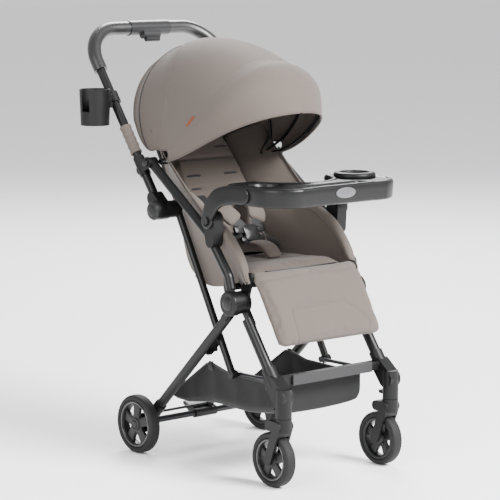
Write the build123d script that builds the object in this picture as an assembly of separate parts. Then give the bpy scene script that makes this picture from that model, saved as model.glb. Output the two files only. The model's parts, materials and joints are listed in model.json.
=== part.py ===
from build123d import *
import math
import os

# Folding baby stroller, millimetres. +Z is up, the stroller faces -Y, and x = 0 is its centre plane.
# The origin is on the ground, midway between the front and rear wheel contacts.
# Points in the side view are (y, z) pairs. Left is +X. Each pair of parts is drawn on the left and mirrored.

# ---- driving dimensions ----
REAR_WHEEL_R = 72.5
FRONT_WHEEL_R = 65.0
TYRE_WIDTH = 28.0
TYRE_DEPTH = 15.0
HALF_WHEELBASE = 236.0
REAR_TRACK = 202.0          # half, to the middle of the wheel
FRONT_TRACK = 170.0
CASTER_TRAIL = 34.0

HUB = (-115.0, 417.0)       # where the legs and the side arm meet
KNEE = (144.0, 612.0)       # fold knuckle between handle and strut
HANDLE_LEAN = 53.9          # degrees from the horizontal
HANDLE_TOP_Z = 1033.0       # axis of the top bar
HANDLE_BEND_R = 95.0
ARM_PIVOT_UP = 114.0        # along the handle, from the knee
ARM_PIVOT_OFFSET = 32.0     # in front of the handle's axis
STRUT_PIN_DOWN = 195.0      # along the rear leg, from the hub
STRUT_FOOT = (-63.0, 236.0)
RAIL_PIN = (-205.0, 238.0)
LEG_FOOT = (-236.0, 246.0)  # lower end of the front leg's tube

REAR_LEG_X = 174.0
ARM_X = 195.0
HANDLE_X = 200.0
STRUT_X = 150.0
RAIL_X = 135.0
REAR_LEG_R = 12.0
FRONT_LEG_R = 13.0
ARM_R = 11.5
HANDLE_R = 11.0
STRUT_R = 9.0
RAIL_R = 4.5
RAIL_PIN_R = 4.0
GRIP_R = 17.0
AXLE_TUBE_R = 8.0
WALL = 1.5

AXLE_R = 5.0
HUB_PIN_R = 6.0
RUNNING = 0.05              # radial clearance of every turning fit
SIDE_GAP = 0.5              # axial clearance between bodies
SOFT_GAP = 0.4              # soft parts to their neighbours

CUP_R = 38.0
CUP_HEIGHT = 88.0
CUP_WALL = 3.0
TRAY_HALF_WIDTH = 203.0
TRAY_PIVOT = (-48.0, 606.0)
CANOPY_HALF_WIDTH = 174.0
CANOPY_TOP_Z = 1018.0
FABRIC = 4.0
BOW_R = 3.5
BOW_BEND_R = 140.0
BOW_STEP = 7.5              # between the bows' feet along the canopy pin
CANOPY_PIN_R = 4.0
SEAT_HALF_WIDTH = 126.0      # behind, between the struts
SEAT_FRONT_HALF = 156.0       # in front, between the side arms
SEAT_TOP_Z = 496.0
PAD = 28.0
BACK_PIVOT = (100.0, 450.0)
BACK_LEAN = 60.0            # degrees from the horizontal
BACK_LENGTH = 370.0
LEG_REST_HINGE = (-140.0, 478.0)
LEG_REST_LENGTH = 172.0
LEG_REST_LEAN = 59.0        # degrees below the horizontal
LEG_REST_HALF_WIDTH = 163.0
BASKET_HALF_WIDTH = 126.0
BASKET_FLOOR_Z = 150.0

parts = {}


# ---- small helpers ----
def polar(point, length, degrees):
    """The side-view point at a length and a direction from another point."""
    angle = math.radians(degrees)
    return (point[0] + length * math.cos(angle), point[1] + length * math.sin(angle))


def heading(start, end):
    return math.degrees(math.atan2(end[1] - start[1], end[0] - start[0]))


def disc(centre, radius, x_low, x_high):
    """A cylinder along X."""
    return Pos(x_low, *centre) * Cylinder(
        radius, x_high - x_low, rotation=(0, 90, 0), align=(Align.CENTER, Align.CENTER, Align.MIN))


def plate(outline, x_low, x_high):
    """A side-view polygon, extruded along X."""
    face = make_face(Polyline(*outline, close=True))
    return extrude(Plane.YZ.offset(x_low) * face, x_high - x_low)


def link(start, start_r, end, end_r, x_low, x_high):
    """A plate with two round ends, from one side-view point to another."""
    ends = [Pos(*start) * Circle(start_r), Pos(*end) * Circle(end_r)]
    hull = make_hull([edge for circle in ends for edge in circle.edges()])
    return extrude(Plane.YZ.offset(x_low) * hull, x_high - x_low)


def swept(points, radius, bend=None, wall=None):
    """A round tube, or a rod without a wall, along straight runs joined by arcs."""
    path = Line(*points) if len(points) == 2 else FilletPolyline(*points, radius=bend)
    section = Circle(radius) - Circle(radius - wall) if wall else Circle(radius)
    return sweep(Plane(origin=path @ 0, z_dir=path % 0) * section, path=path)


def at_x(x, *points):
    return [(x, *point) for point in points]


def bore(shape, centre, radius, x_low, x_high):
    return shape - disc(centre, radius + RUNNING, x_low, x_high)


def pair(name, shape):
    """A left part and its mirror image, as two parts."""
    parts[name + "_left"] = shape
    parts[name + "_right"] = mirror(shape, about=Plane.YZ)


def both(name, *shapes):
    """Left pieces and their mirror images, as one part of separate solids."""
    parts[name] = Compound(children=[
        solid for shape in shapes for side in (shape, mirror(shape, about=Plane.YZ)) for solid in side.solids()])


# ---- places worked out from the dimensions ----
REAR_AXLE = (HALF_WHEELBASE, REAR_WHEEL_R)
FRONT_AXLE = (-HALF_WHEELBASE, FRONT_WHEEL_R)
STEM_Y = -HALF_WHEELBASE - CASTER_TRAIL
REAR_DIR = heading(HUB, REAR_AXLE)
FRONT_DIR = heading(HUB, LEG_FOOT)
STRUT_PIN = polar(HUB, STRUT_PIN_DOWN, REAR_DIR)
ARM_PIVOT = polar(polar(KNEE, ARM_PIVOT_UP, HANDLE_LEAN), ARM_PIVOT_OFFSET, HANDLE_LEAN + 90)
ARM_BEND = polar(ARM_PIVOT, 262.0, -144.9)
ARM_SHOULDER = polar(HUB, 64.0, 80.0)
CROSS_TUBE = polar(HUB, 40.0, 60.0)
HUB_CLEAR = 46.0            # tubes start this far from the hub's axis
HUB_R = 29.5
TRACK_INNER = REAR_TRACK - TYRE_WIDTH / 2
TRACK_OUTER = REAR_TRACK + TYRE_WIDTH / 2
LEG_INNER = FRONT_TRACK - FRONT_LEG_R
KNUCKLE_SPLIT = LEG_INNER + 12.5        # front leg's knuckle to rear leg's
KNUCKLE_OUTER = 186.5                   # rear leg's knuckle to the arm's drum
DRUM_OUTER = 209.0


# ---- wheels ----
def tyre(radius, x_mid):
    """A tyre with rounded shoulders."""
    inner = radius - TYRE_DEPTH
    ring = disc((0, 0), radius, -TYRE_WIDTH / 2, TYRE_WIDTH / 2)
    ring = fillet(ring.edges().filter_by(GeomType.CIRCLE), 8.0)
    return Pos(x_mid, 0, 0) * (ring - disc((0, 0), inner, -TYRE_WIDTH, TYRE_WIDTH))


def rim(radius, x_mid, blind_side):
    """A rim with five spokes on a hub. A blind hub closes the bore on its outer face."""
    outer = radius - TYRE_DEPTH
    well = outer - 7.0
    hub_r = 15.0
    half = TYRE_WIDTH / 2 - 2.0
    shape = disc((0, 0), outer, -half, half) - disc((0, 0), well, -half, half)
    spoke = Pos(0, 0, (hub_r + well) / 2) * Box(10.0, 15.0, well - hub_r + 8.0)
    for turn in range(5):
        shape += Rot(72 * turn, 0, 0) * spoke
    shape += disc((0, 0), hub_r, -half, half)
    cap = 2.5 if blind_side else 0.0
    shape -= disc((0, 0), AXLE_R + RUNNING, -half - 1, half + 1 - cap - (1 if cap else 0))
    return Pos(x_mid, 0, 0) * shape


for wheel, axle, radius, track, blind in (
        ("rear", REAR_AXLE, REAR_WHEEL_R, REAR_TRACK, True),
        ("front", FRONT_AXLE, FRONT_WHEEL_R, FRONT_TRACK, False)):
    pair(wheel + "_tyre", Pos(0, *axle) * tyre(radius, track))
    pair(wheel + "_rim", Pos(0, *axle) * rim(radius, track, blind))


# ---- rear frame: legs, brackets, axle tube ----
def knuckle(direction, radius, x_low, x_high, neck):
    """A leg's round end at the hub, with a neck that runs into the leg's tube."""
    shape = disc(HUB, radius, x_low, x_high)
    start = polar(HUB, HUB_CLEAR + 12.0, direction)
    return shape + link(HUB, neck, start, neck, x_low, x_high)


collar_top = polar(REAR_AXLE, 78.0, REAR_DIR + 180)
tube_end = polar(REAR_AXLE, 34.0, REAR_DIR + 180)
rear_leg = swept(at_x(REAR_LEG_X, polar(HUB, HUB_CLEAR, REAR_DIR), tube_end), REAR_LEG_R, wall=WALL)
rear_leg += knuckle(REAR_DIR, 27.0, KNUCKLE_SPLIT + SIDE_GAP, KNUCKLE_OUTER, 9.0)
rear_leg += disc(HUB, HUB_PIN_R, LEG_INNER, DRUM_OUTER - 2.5)
rear_leg += disc(STRUT_PIN, AXLE_R, BASKET_HALF_WIDTH + SOFT_GAP, REAR_LEG_X - REAR_LEG_R + 3.0)
pair("rear_leg", rear_leg)

bracket_in = REAR_LEG_X - 15.0
collar = swept(at_x(REAR_LEG_X, collar_top, polar(REAR_AXLE, 22.0, REAR_DIR + 180)), REAR_LEG_R + 3.0)
collar &= disc(REAR_AXLE, 200.0, bracket_in, TRACK_INNER - SIDE_GAP)
bracket = disc(REAR_AXLE, 24.0, bracket_in, TRACK_INNER - SIDE_GAP) + collar
bracket -= swept(at_x(REAR_LEG_X, collar_top, tube_end), REAR_LEG_R)
bracket += disc(REAR_AXLE, AXLE_R, bracket_in, TRACK_OUTER - 5.0)
pair("rear_bracket", bracket)

AXLE_TUBE = (REAR_AXLE[0] - 10.0, REAR_AXLE[1] + 4.0)
parts["rear_axle_tube"] = (disc(AXLE_TUBE, AXLE_TUBE_R, -bracket_in, bracket_in)
                           - disc(AXLE_TUBE, AXLE_TUBE_R - WALL, -bracket_in, bracket_in))

# The brake pedal turns on the axle tube and pushes pins at its ends towards the wheels.
PEDAL_HALF = 34.0
pedal_tip = (AXLE_TUBE[0] + 40.0, AXLE_TUBE[1] + 20.0)
pedal = link(AXLE_TUBE, AXLE_TUBE_R + 4.0, pedal_tip, 5.0, -PEDAL_HALF, PEDAL_HALF)
pedal -= disc(AXLE_TUBE, AXLE_TUBE_R + RUNNING, -PEDAL_HALF, PEDAL_HALF)
brake_bar = polar(AXLE_TUBE, 19.0, 75.0)
pedal += link(AXLE_TUBE, AXLE_TUBE_R + 4.0, brake_bar, 5.0, 12.0, 20.0) - disc(
    AXLE_TUBE, AXLE_TUBE_R + RUNNING, 0.0, PEDAL_HALF)
pedal += disc(brake_bar, 3.5, -bracket_in + SIDE_GAP, bracket_in - SIDE_GAP)
parts["brake_pedal"] = pedal

# ---- front frame ----
leg_start = polar(HUB, HUB_CLEAR, FRONT_DIR)
front_leg = swept(at_x(FRONT_TRACK, leg_start, LEG_FOOT), FRONT_LEG_R, wall=WALL)
front_leg += knuckle(FRONT_DIR, 27.0, LEG_INNER, KNUCKLE_SPLIT, 9.0)
front_leg += link(HUB, 16.0, LEG_REST_HINGE, 11.0, LEG_INNER, LEG_INNER + 8.0)
front_leg = bore(front_leg, HUB, HUB_PIN_R, LEG_INNER, KNUCKLE_SPLIT)
pair("front_leg", front_leg)

HEAD_R = 19.0
STEM_TOP_Z = 236.0
SWIVEL_Z = 168.0
head = Pos(FRONT_TRACK, STEM_Y, SWIVEL_Z) * Cylinder(
    HEAD_R, STEM_TOP_Z - SWIVEL_Z, align=(Align.CENTER, Align.CENTER, Align.MIN))
head += swept(at_x(FRONT_TRACK, polar(LEG_FOOT, 34.0, FRONT_DIR + 180), polar(LEG_FOOT, 14.0, FRONT_DIR)),
              FRONT_LEG_R + 3.5)
head += link((STEM_Y + 4.0, STEM_TOP_Z - 20.0), 22.0, LEG_FOOT, 17.0, FRONT_TRACK - 16.0, FRONT_TRACK + 16.0)
foot_x = LEG_INNER - 7.0
head += disc(LEG_FOOT, 13.0, foot_x, FRONT_TRACK)
head += link(LEG_FOOT, 13.0, RAIL_PIN, 8.0, foot_x, LEG_INNER)
head += disc(RAIL_PIN, RAIL_PIN_R, RAIL_X - RAIL_R, foot_x)
head -= swept(at_x(FRONT_TRACK, leg_start, LEG_FOOT), FRONT_LEG_R)
head -= Pos(FRONT_TRACK, STEM_Y, SWIVEL_Z) * Cylinder(
    AXLE_R + RUNNING, 40.0, align=(Align.CENTER, Align.CENTER, Align.MIN))
pair("caster_head", head)

FOOTREST_Z = LEG_FOOT[1]
parts["footrest_bar"] = Pos(0, LEG_FOOT[0], FOOTREST_Z) * Box(2 * foot_x, 22.0, 20.0)
parts["footrest_cap"] = Pos(0, LEG_FOOT[0] - 14.0, FOOTREST_Z + 1.0) * Box(2 * foot_x - 50.0, 6.0, 24.0)
parts["leg_rest_tube"] = disc(LEG_REST_HINGE, 7.0, -LEG_INNER, LEG_INNER)

# ---- casters ----
ARM_T = 5.5
fork_in = FRONT_TRACK - TYRE_WIDTH / 2 - 2.0 - ARM_T
fork_out = FRONT_TRACK + TYRE_WIDTH / 2 + 2.0 + ARM_T
crown_z = FRONT_WHEEL_R * 2 + 5.0
fork = Pos(FRONT_TRACK, STEM_Y, crown_z) * Cylinder(
    HEAD_R, SWIVEL_Z - 1.0 - crown_z, align=(Align.CENTER, Align.CENTER, Align.MIN))
crown = (STEM_Y + 2.0, crown_z + 13.0)
arms = link(crown, 12.0, FRONT_AXLE, 12.0, fork_in, fork_out)
arms += link(crown, 12.0, (STEM_Y + 30.0, crown_z + 13.0), 12.0, fork_in, fork_out)
fork += arms - disc(FRONT_AXLE, FRONT_WHEEL_R + 3.0, fork_in + ARM_T, fork_out - ARM_T)
fork += Pos(FRONT_TRACK, STEM_Y, SWIVEL_Z - 10.0) * Cylinder(
    AXLE_R, 46.0, align=(Align.CENTER, Align.CENTER, Align.MIN))
fork += disc(FRONT_AXLE, AXLE_R, fork_in, fork_out)
pair("caster_fork", fork)

lock_y = STEM_Y + HEAD_R
swivel_lock = Pos(FRONT_TRACK, lock_y + 8.0, SWIVEL_Z + 12.0) * Box(12.0, 15.0, 8.0)
pair("swivel_lock", swivel_lock)

# ---- side arms ----
arm_path = at_x(ARM_X, ARM_PIVOT, ARM_BEND, ARM_SHOULDER, polar(HUB, 34.0, 86.0))
arm_tube = swept(arm_path, ARM_R, bend=24.0)
arm = arm_tube
drum = disc(HUB, HUB_R, KNUCKLE_OUTER + SIDE_GAP, DRUM_OUTER)
drum = fillet(drum.edges().filter_by(GeomType.CIRCLE).sort_by(Axis.X)[-1], 4.0)
drum += link(HUB, 20.0, CROSS_TUBE, 11.0, KNUCKLE_OUTER + SIDE_GAP, KNUCKLE_OUTER + 8.0)
arm += link(HUB, 10.0, ARM_SHOULDER, 10.0, ARM_X - 6.0, ARM_X + 8.0) + drum
arm = bore(arm, HUB, HUB_PIN_R, KNUCKLE_OUTER, DRUM_OUTER - 2.0)
eye = disc(ARM_PIVOT, 13.0, ARM_X - 11.0, ARM_X + 11.0)
arm += eye
arm = bore(arm, ARM_PIVOT, AXLE_R, ARM_X - 4.0, ARM_X + 12.0)
bow_x = CANOPY_HALF_WIDTH - FABRIC - BOW_R - SOFT_GAP
arm += disc(ARM_PIVOT, CANOPY_PIN_R, bow_x - 2 * BOW_STEP - 4.0, ARM_X - 10.0)
pair("side_arm", arm)

knuckle_out = ARM_X + 16.0
arm_knuckle = link(TRAY_PIVOT, 21.0, polar(TRAY_PIVOT, 50.0, -95.0), 14.0, ARM_X - 14.0, knuckle_out)
arm_knuckle = bore(arm_knuckle - arm_tube, TRAY_PIVOT, HUB_PIN_R, ARM_X, knuckle_out)
both("arm_knuckles", arm_knuckle)

tube_x = KNUCKLE_OUTER + SIDE_GAP
seat_frame = disc(CROSS_TUBE, 8.0, -tube_x, tube_x)
rail_in = SEAT_HALF_WIDTH - 18.0
for side in (-1, 1):
    seat_frame += swept(at_x(side * rail_in, CROSS_TUBE, (BACK_PIVOT[0] - 4.0, BACK_PIVOT[1])), 6.0)
seat_frame += disc(BACK_PIVOT, 6.0, -SEAT_HALF_WIDTH, SEAT_HALF_WIDTH)
parts["seat_frame"] = seat_frame

# ---- handle ----
grip_foot = polar(KNEE, 400.0, HANDLE_LEAN)
top_run = (HANDLE_TOP_Z - KNEE[1]) / math.sin(math.radians(HANDLE_LEAN))
HANDLE_TOP = polar(KNEE, top_run, HANDLE_LEAN)


def handle_path(start):
    return [(HANDLE_X, *start), (HANDLE_X, *HANDLE_TOP), (-HANDLE_X, *HANDLE_TOP), (-HANDLE_X, *start)]


tube_foot = polar(KNEE, 8.0, HANDLE_LEAN)
parts["handle_tube"] = swept(handle_path(tube_foot), HANDLE_R, bend=HANDLE_BEND_R, wall=WALL)

HOUSING_HALF = 62.0
grip = swept(handle_path(grip_foot), GRIP_R, bend=HANDLE_BEND_R, wall=GRIP_R - HANDLE_R)
both("grips", grip & Pos(HOUSING_HALF + 300.0, *HANDLE_TOP) * Box(600.0, 900.0, 900.0))

housing_r = GRIP_R + 2.0
housing = disc(HANDLE_TOP, housing_r, -HOUSING_HALF, HOUSING_HALF)
down_front = HANDLE_LEAN + 180
pod_half = 26.0
pod = link(HANDLE_TOP, 13.0, polar(HANDLE_TOP, 20.0, down_front), 11.0, -pod_half, pod_half)
housing += pod
button_half = pod_half - 5.0
pocket = link(polar(HANDLE_TOP, 16.0, down_front), 7.0, polar(HANDLE_TOP, 44.0, down_front), 7.0,
              -button_half, button_half)
housing -= pocket + disc(HANDLE_TOP, HANDLE_R, -HOUSING_HALF, HOUSING_HALF)
parts["grip_housing"] = housing
BUTTON_TRAVEL = 4.0
button_end_r = 6.6
parts["fold_button"] = link(
    polar(HANDLE_TOP, HANDLE_R + button_end_r + BUTTON_TRAVEL + SIDE_GAP, down_front), button_end_r,
    polar(HANDLE_TOP, 34.0, down_front), button_end_r,
    -button_half + 0.4, button_half - 0.4)

knee_in = STRUT_X + STRUT_R + SIDE_GAP
knob_x = HANDLE_X + 15.0
knee = disc(KNEE, 21.0, knee_in, HANDLE_X - 14.0)
knee += link(KNEE, 23.0, polar(KNEE, 34.0, HANDLE_LEAN), 15.0, HANDLE_X - 15.0, knob_x)
knee -= swept(at_x(HANDLE_X, tube_foot, polar(KNEE, 90.0, HANDLE_LEAN)), HANDLE_R)
both("fold_knuckles", knee)
knob = disc(KNEE, 23.0, knob_x, knob_x + 13.0)
knob = chamfer(knob.edges().filter_by(GeomType.CIRCLE).sort_by(Axis.X)[-1], 4.0)
both("fold_knobs", knob)

foot_of_pivot = polar(KNEE, ARM_PIVOT_UP, HANDLE_LEAN)
bracket_end = polar(foot_of_pivot, 34.0, HANDLE_LEAN)
lug_x = ARM_X + 11.0 + SIDE_GAP
lug = swept(at_x(HANDLE_X, polar(foot_of_pivot, 16.0, HANDLE_LEAN + 180), bracket_end), HANDLE_R + 3.0)
lug += link(ARM_PIVOT, 14.0, foot_of_pivot, 12.0, lug_x, lug_x + 6.5)
lug -= swept(at_x(HANDLE_X, tube_foot, polar(bracket_end, 40.0, HANDLE_LEAN)), HANDLE_R)
lug += disc(ARM_PIVOT, AXLE_R, ARM_X - 3.5, lug_x + 6.5) + disc(ARM_PIVOT, 9.0, lug_x + 6.5, lug_x + 10.0)
both("handle_lugs", lug)

# ---- cup holder, on the right of the handle ----
clamp_at = polar(KNEE, 318.0, HANDLE_LEAN)
clamp_ends = [polar(clamp_at, offset, HANDLE_LEAN) for offset in (-14.0, 14.0)]
CUP_X = -(HANDLE_X + HANDLE_R + 6.0 + CUP_R)
CUP_BASE = clamp_at[1] - 62.0
clamp = swept(at_x(-HANDLE_X, *clamp_ends), HANDLE_R + 5.0)
clamp += Pos(-HANDLE_X - HANDLE_R - 3.0, clamp_at[0], clamp_at[1] - 4.0) * Box(8.0, 26.0, 34.0)
clamp -= swept(at_x(-HANDLE_X, *(polar(clamp_at, offset, HANDLE_LEAN) for offset in (-60.0, 60.0))), HANDLE_R)
cup_place = Pos(CUP_X, clamp_at[0], CUP_BASE)
clamp -= cup_place * Cylinder(CUP_R + 0.2, CUP_HEIGHT, align=(Align.CENTER, Align.CENTER, Align.MIN))
parts["cup_clamp"] = clamp
low = (Align.CENTER, Align.CENTER, Align.MIN)
cup = Cone(CUP_R - 3.0, CUP_R, CUP_HEIGHT, align=low)
cup -= Pos(0, 0, CUP_WALL) * Cone(CUP_R - 3.0 - CUP_WALL, CUP_R - CUP_WALL, CUP_HEIGHT, align=low)
cup -= Pos(-CUP_R, -8.0, 34.0) * Box(CUP_R, 22.0, CUP_HEIGHT, align=low)
parts["cup_holder"] = cup_place * cup

# ---- struts, basket rails ----
strut_dir = heading(KNEE, STRUT_FOOT)
strut = swept(at_x(STRUT_X, KNEE, STRUT_FOOT), STRUT_R, wall=WALL)
for end in (KNEE, STRUT_FOOT):
    strut += disc(end, STRUT_R + 2.0, STRUT_X - STRUT_R + 1.0, STRUT_X + STRUT_R - 1.0)
crossing = polar(STRUT_FOOT, 92.0, strut_dir + 180)
strut += link(crossing, 7.0, STRUT_PIN, 11.0, STRUT_X - 5.0, STRUT_X + 5.0)
strut = bore(strut, STRUT_PIN, AXLE_R, STRUT_X - STRUT_R - 1, STRUT_X + STRUT_R)
pair("strut", strut)

rail = link(STRUT_FOOT, 7.0, polar(STRUT_FOOT, 12.0, 180), RAIL_R, RAIL_X - RAIL_R, RAIL_X + RAIL_R)
rail += disc(RAIL_PIN, 8.0, RAIL_X - RAIL_R, RAIL_X + RAIL_R)
rail += swept(at_x(RAIL_X, STRUT_FOOT, RAIL_PIN), RAIL_R)
rail = bore(rail, RAIL_PIN, RAIL_PIN_R, RAIL_X - RAIL_R, RAIL_X + RAIL_R)
pair("basket_rail", rail)

# ---- basket: an open fabric tray between the axle tube and the footrest ----
FLOOR_FRONT = LEG_FOOT[0] + 24.0
basket_rear = AXLE_TUBE[0] - 30.0
outline = [(FLOOR_FRONT, FOOTREST_Z - 14.0), (FLOOR_FRONT, BASKET_FLOOR_Z + 10.0),
           (FLOOR_FRONT + 40.0, BASKET_FLOOR_Z), (basket_rear - 60.0, BASKET_FLOOR_Z - 20.0),
           (basket_rear, BASKET_FLOOR_Z + 5.0), (90.0, 296.0), (STRUT_PIN[0] - 12.0, STRUT_PIN[1] + 10.0),
           (STRUT_FOOT[0], STRUT_FOOT[1] - 12.0)]
inside = [(FLOOR_FRONT + FABRIC, 400.0), (FLOOR_FRONT + FABRIC, BASKET_FLOOR_Z + 12.0),
          (FLOOR_FRONT + 42.0, BASKET_FLOOR_Z + FABRIC), (basket_rear - 62.0, BASKET_FLOOR_Z - 20.0 + FABRIC),
          (basket_rear - 5.0, BASKET_FLOOR_Z + 8.0), (basket_rear - 5.0, 400.0)]
wall_x = BASKET_HALF_WIDTH - FABRIC
parts["basket"] = plate(outline, -BASKET_HALF_WIDTH, BASKET_HALF_WIDTH) - plate(inside, -wall_x, wall_x)

# ---- leg rest ----
rest_dir = 180 + LEG_REST_LEAN


def along_rest(run, rise):
    """A side-view point by its run down the leg rest and its rise from the board's mid-plane."""
    return polar(polar(LEG_REST_HINGE, run, rest_dir), rise, rest_dir - 90)


def slab(frame, run_low, run_high, rise_low, rise_high, half_width):
    outline = [frame(run_low, rise_low), frame(run_high, rise_low),
               frame(run_high, rise_high), frame(run_low, rise_high)]
    return plate(outline, -half_width, half_width)


board = disc(LEG_REST_HINGE, 10.0, -110.0, 110.0)
board += slab(along_rest, 0.0, LEG_REST_LENGTH, -3.0, 3.0, LEG_REST_HALF_WIDTH - 16.0)
board -= disc(LEG_REST_HINGE, 7.0 + RUNNING, -200.0, 200.0)
parts["leg_rest_board"] = board
rest_pad = slab(along_rest, 13.0, LEG_REST_LENGTH + 8.0, 3.0 + SOFT_GAP, 3.0 + PAD, LEG_REST_HALF_WIDTH)
parts["leg_rest_pad"] = fillet(rest_pad.edges().filter_by(Axis.X), 8.0)

# ---- seat and backrest ----
seat_low = CROSS_TUBE[1] + 8.0 + SOFT_GAP
seat_front, seat_rear = LEG_REST_HINGE[0] + 18.0, BACK_PIVOT[0] - 26.0
seat_plan = make_face(Polyline(
    (SEAT_FRONT_HALF, seat_front), (SEAT_FRONT_HALF, -70.0), (SEAT_HALF_WIDTH, -34.0), (SEAT_HALF_WIDTH, seat_rear),
    (-SEAT_HALF_WIDTH, seat_rear), (-SEAT_HALF_WIDTH, -34.0), (-SEAT_FRONT_HALF, -70.0), (-SEAT_FRONT_HALF, seat_front),
    close=True))
seat = extrude(Pos(0, 0, seat_low) * seat_plan, SEAT_TOP_Z - seat_low)
parts["seat_cushion"] = fillet(seat.edges().group_by(Axis.Z)[-1], 8.0)


def along_back(run, rise):
    """A side-view point by its run up the backrest and its rise from the board's mid-plane."""
    return polar(polar(BACK_PIVOT, run, BACK_LEAN), rise, BACK_LEAN + 90)


back_board = slab(along_back, 0.0, BACK_LENGTH, -4.0, 4.0, SEAT_HALF_WIDTH - 12.0)
back_board += disc(BACK_PIVOT, 10.0, -90.0, 90.0)
back_board -= disc(BACK_PIVOT, 6.0 + RUNNING, -200.0, 200.0)
parts["back_board"] = back_board
back_pad = slab(along_back, 44.0, BACK_LENGTH - 4.0, 4.0 + SOFT_GAP, 4.0 + PAD, SEAT_HALF_WIDTH - 2.0)
parts["back_pad"] = fillet(back_pad.edges().filter_by(Axis.X), 10.0)

panel_in = SEAT_HALF_WIDTH + SOFT_GAP
panel = plate([(-26.0, 462.0), (90.0, 444.0), (188.0, 622.0), (234.0, 700.0), (196.0, 708.0),
               (120.0, 662.0), (-10.0, 566.0), (-26.0, 520.0)], panel_in, panel_in + FABRIC)
both("side_panels", panel)

# ---- harness ----
strap_low, strap_high = 4.0 + PAD + SOFT_GAP, 4.0 + PAD + 3.0
STRAP_X = 58.0
strap = Pos(STRAP_X, 0, 0) * slab(along_back, 130.0, 300.0, strap_low, strap_high, 19.0)
pad_over = Pos(STRAP_X, 0, 0) * slab(along_back, 140.0, 240.0, strap_high + SOFT_GAP, strap_high + 9.0, 24.0)
both("shoulder_harness", strap, pad_over)

BUCKLE = (46.0, 548.0)
buckle_block = Pos(0, *BUCKLE) * Rot(30.0, 0, 0) * Box(62.0, 14.0, 46.0)
buckle_pocket = Pos(0, *BUCKLE) * Rot(30.0, 0, 0) * Pos(0, -7.0, -6.0) * Cylinder(
    9.0, 14.0, rotation=(90, 0, 0))
parts["buckle"] = buckle_block - buckle_pocket
parts["buckle_button"] = Pos(0, *BUCKLE) * Rot(30.0, 0, 0) * Pos(0, -6.0, -6.0) * Cylinder(
    8.6, 6.0, rotation=(90, 0, 0))
crotch_low = SEAT_TOP_Z + SOFT_GAP
crotch = plate([(-34.0, crotch_low), (-4.0, crotch_low), (BUCKLE[0] + 3.0, BUCKLE[1] - 26.0),
                (BUCKLE[0] - 12.0, BUCKLE[1] - 18.0)], -24.0, 24.0)
parts["crotch_pad"] = crotch

# ---- tray ----
TRAY_TOP, TRAY_LOW = 696.0, 652.0
TRAY_FRONT, TRAY_REAR = -292.0, -92.0
TRAY_WALL = 3.0
TRAY_CORNER_R = 90.0
BELLY_R = 110.0
RECESS_R = 37.0
recess_x = TRAY_HALF_WIDTH - 62.0
recess_y = TRAY_REAR - 78.0
trough_half = recess_x - 45.0
trough_y = TRAY_FRONT + 36.0


def tray_outline():
    """The tray in plan: a rounded front, and a round cut for the child's middle."""
    plan = Pos(0, (TRAY_FRONT + TRAY_REAR) / 2) * Rectangle(2 * TRAY_HALF_WIDTH, TRAY_REAR - TRAY_FRONT)
    plan = fillet(plan.vertices().sort_by(Axis.Y)[:2], TRAY_CORNER_R)
    return plan - Pos(0, TRAY_REAR + 12.0) * Circle(BELLY_R)


def upright(sketch, z_low, z_high):
    return extrude(Pos(0, 0, z_low) * sketch, z_high - z_low)


tray = upright(tray_outline(), TRAY_LOW, TRAY_TOP)
tray -= upright(offset(tray_outline(), -TRAY_WALL), TRAY_LOW, TRAY_TOP - TRAY_WALL)
wells = Sketch() + [Pos(side * recess_x, recess_y) * Circle(RECESS_R) for side in (-1, 1)]
trough = Pos(0, trough_y) * Rectangle(2 * trough_half, 46.0)
for hollow, floor_z in ((wells, TRAY_LOW + 6.0), (trough, TRAY_LOW + 12.0)):
    tray += upright(offset(hollow, TRAY_WALL), floor_z - TRAY_WALL, TRAY_TOP)
    tray -= upright(hollow, floor_z, TRAY_TOP + 10.0)
lug_in = knuckle_out + SIDE_GAP
BUTTON_R = 9.0
for side in (-1, 1):
    cheek = link(TRAY_PIVOT, 20.0, (TRAY_REAR - 34.0, TRAY_LOW + 22.0), 20.0, lug_in, lug_in + 6.0)
    cheek += link((TRAY_REAR - 30.0, TRAY_LOW + 22.0), 20.0, (TRAY_REAR - 60.0, TRAY_LOW + 22.0), 20.0,
                  TRAY_HALF_WIDTH - 20.0, lug_in + 6.0)
    cheek += disc(TRAY_PIVOT, HUB_PIN_R, ARM_X + 3.0, lug_in)
    cheek -= disc(TRAY_PIVOT, BUTTON_R + 0.3, lug_in + 2.5, lug_in + 7.0)
    tray += cheek if side > 0 else mirror(cheek, about=Plane.YZ)
parts["tray"] = tray
pair("tray_button", disc(TRAY_PIVOT, BUTTON_R, lug_in + 5.5, lug_in + 9.0))

# ---- canopy: three bows and a fabric shell, turning about the arm pivots ----
def bow(angle, reach, half_width):
    """A bow in the plane through the pivot axis, at an angle from forward, with an eye at each foot."""
    tip = polar(ARM_PIVOT, reach, angle)
    foot = polar(ARM_PIVOT, 4.0, angle)
    path = [(half_width, *foot), (half_width, *tip), (-half_width, *tip), (-half_width, *foot)]
    shape = swept(path, BOW_R, bend=BOW_BEND_R)
    for side in (-1, 1):
        middle = side * half_width
        shape += disc(ARM_PIVOT, 8.0, middle - 2.2, middle + 2.2)
        shape -= disc(ARM_PIVOT, CANOPY_PIN_R + RUNNING, middle - 5.0, middle + 5.0)
    return shape


parts["canopy_bow_rear"] = bow(80.0, 264.0, bow_x - 2 * BOW_STEP)
parts["canopy_bow_middle"] = bow(127.0, 292.0, bow_x - BOW_STEP)
parts["canopy_bow_front"] = bow(155.0, 312.0, bow_x)


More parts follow.
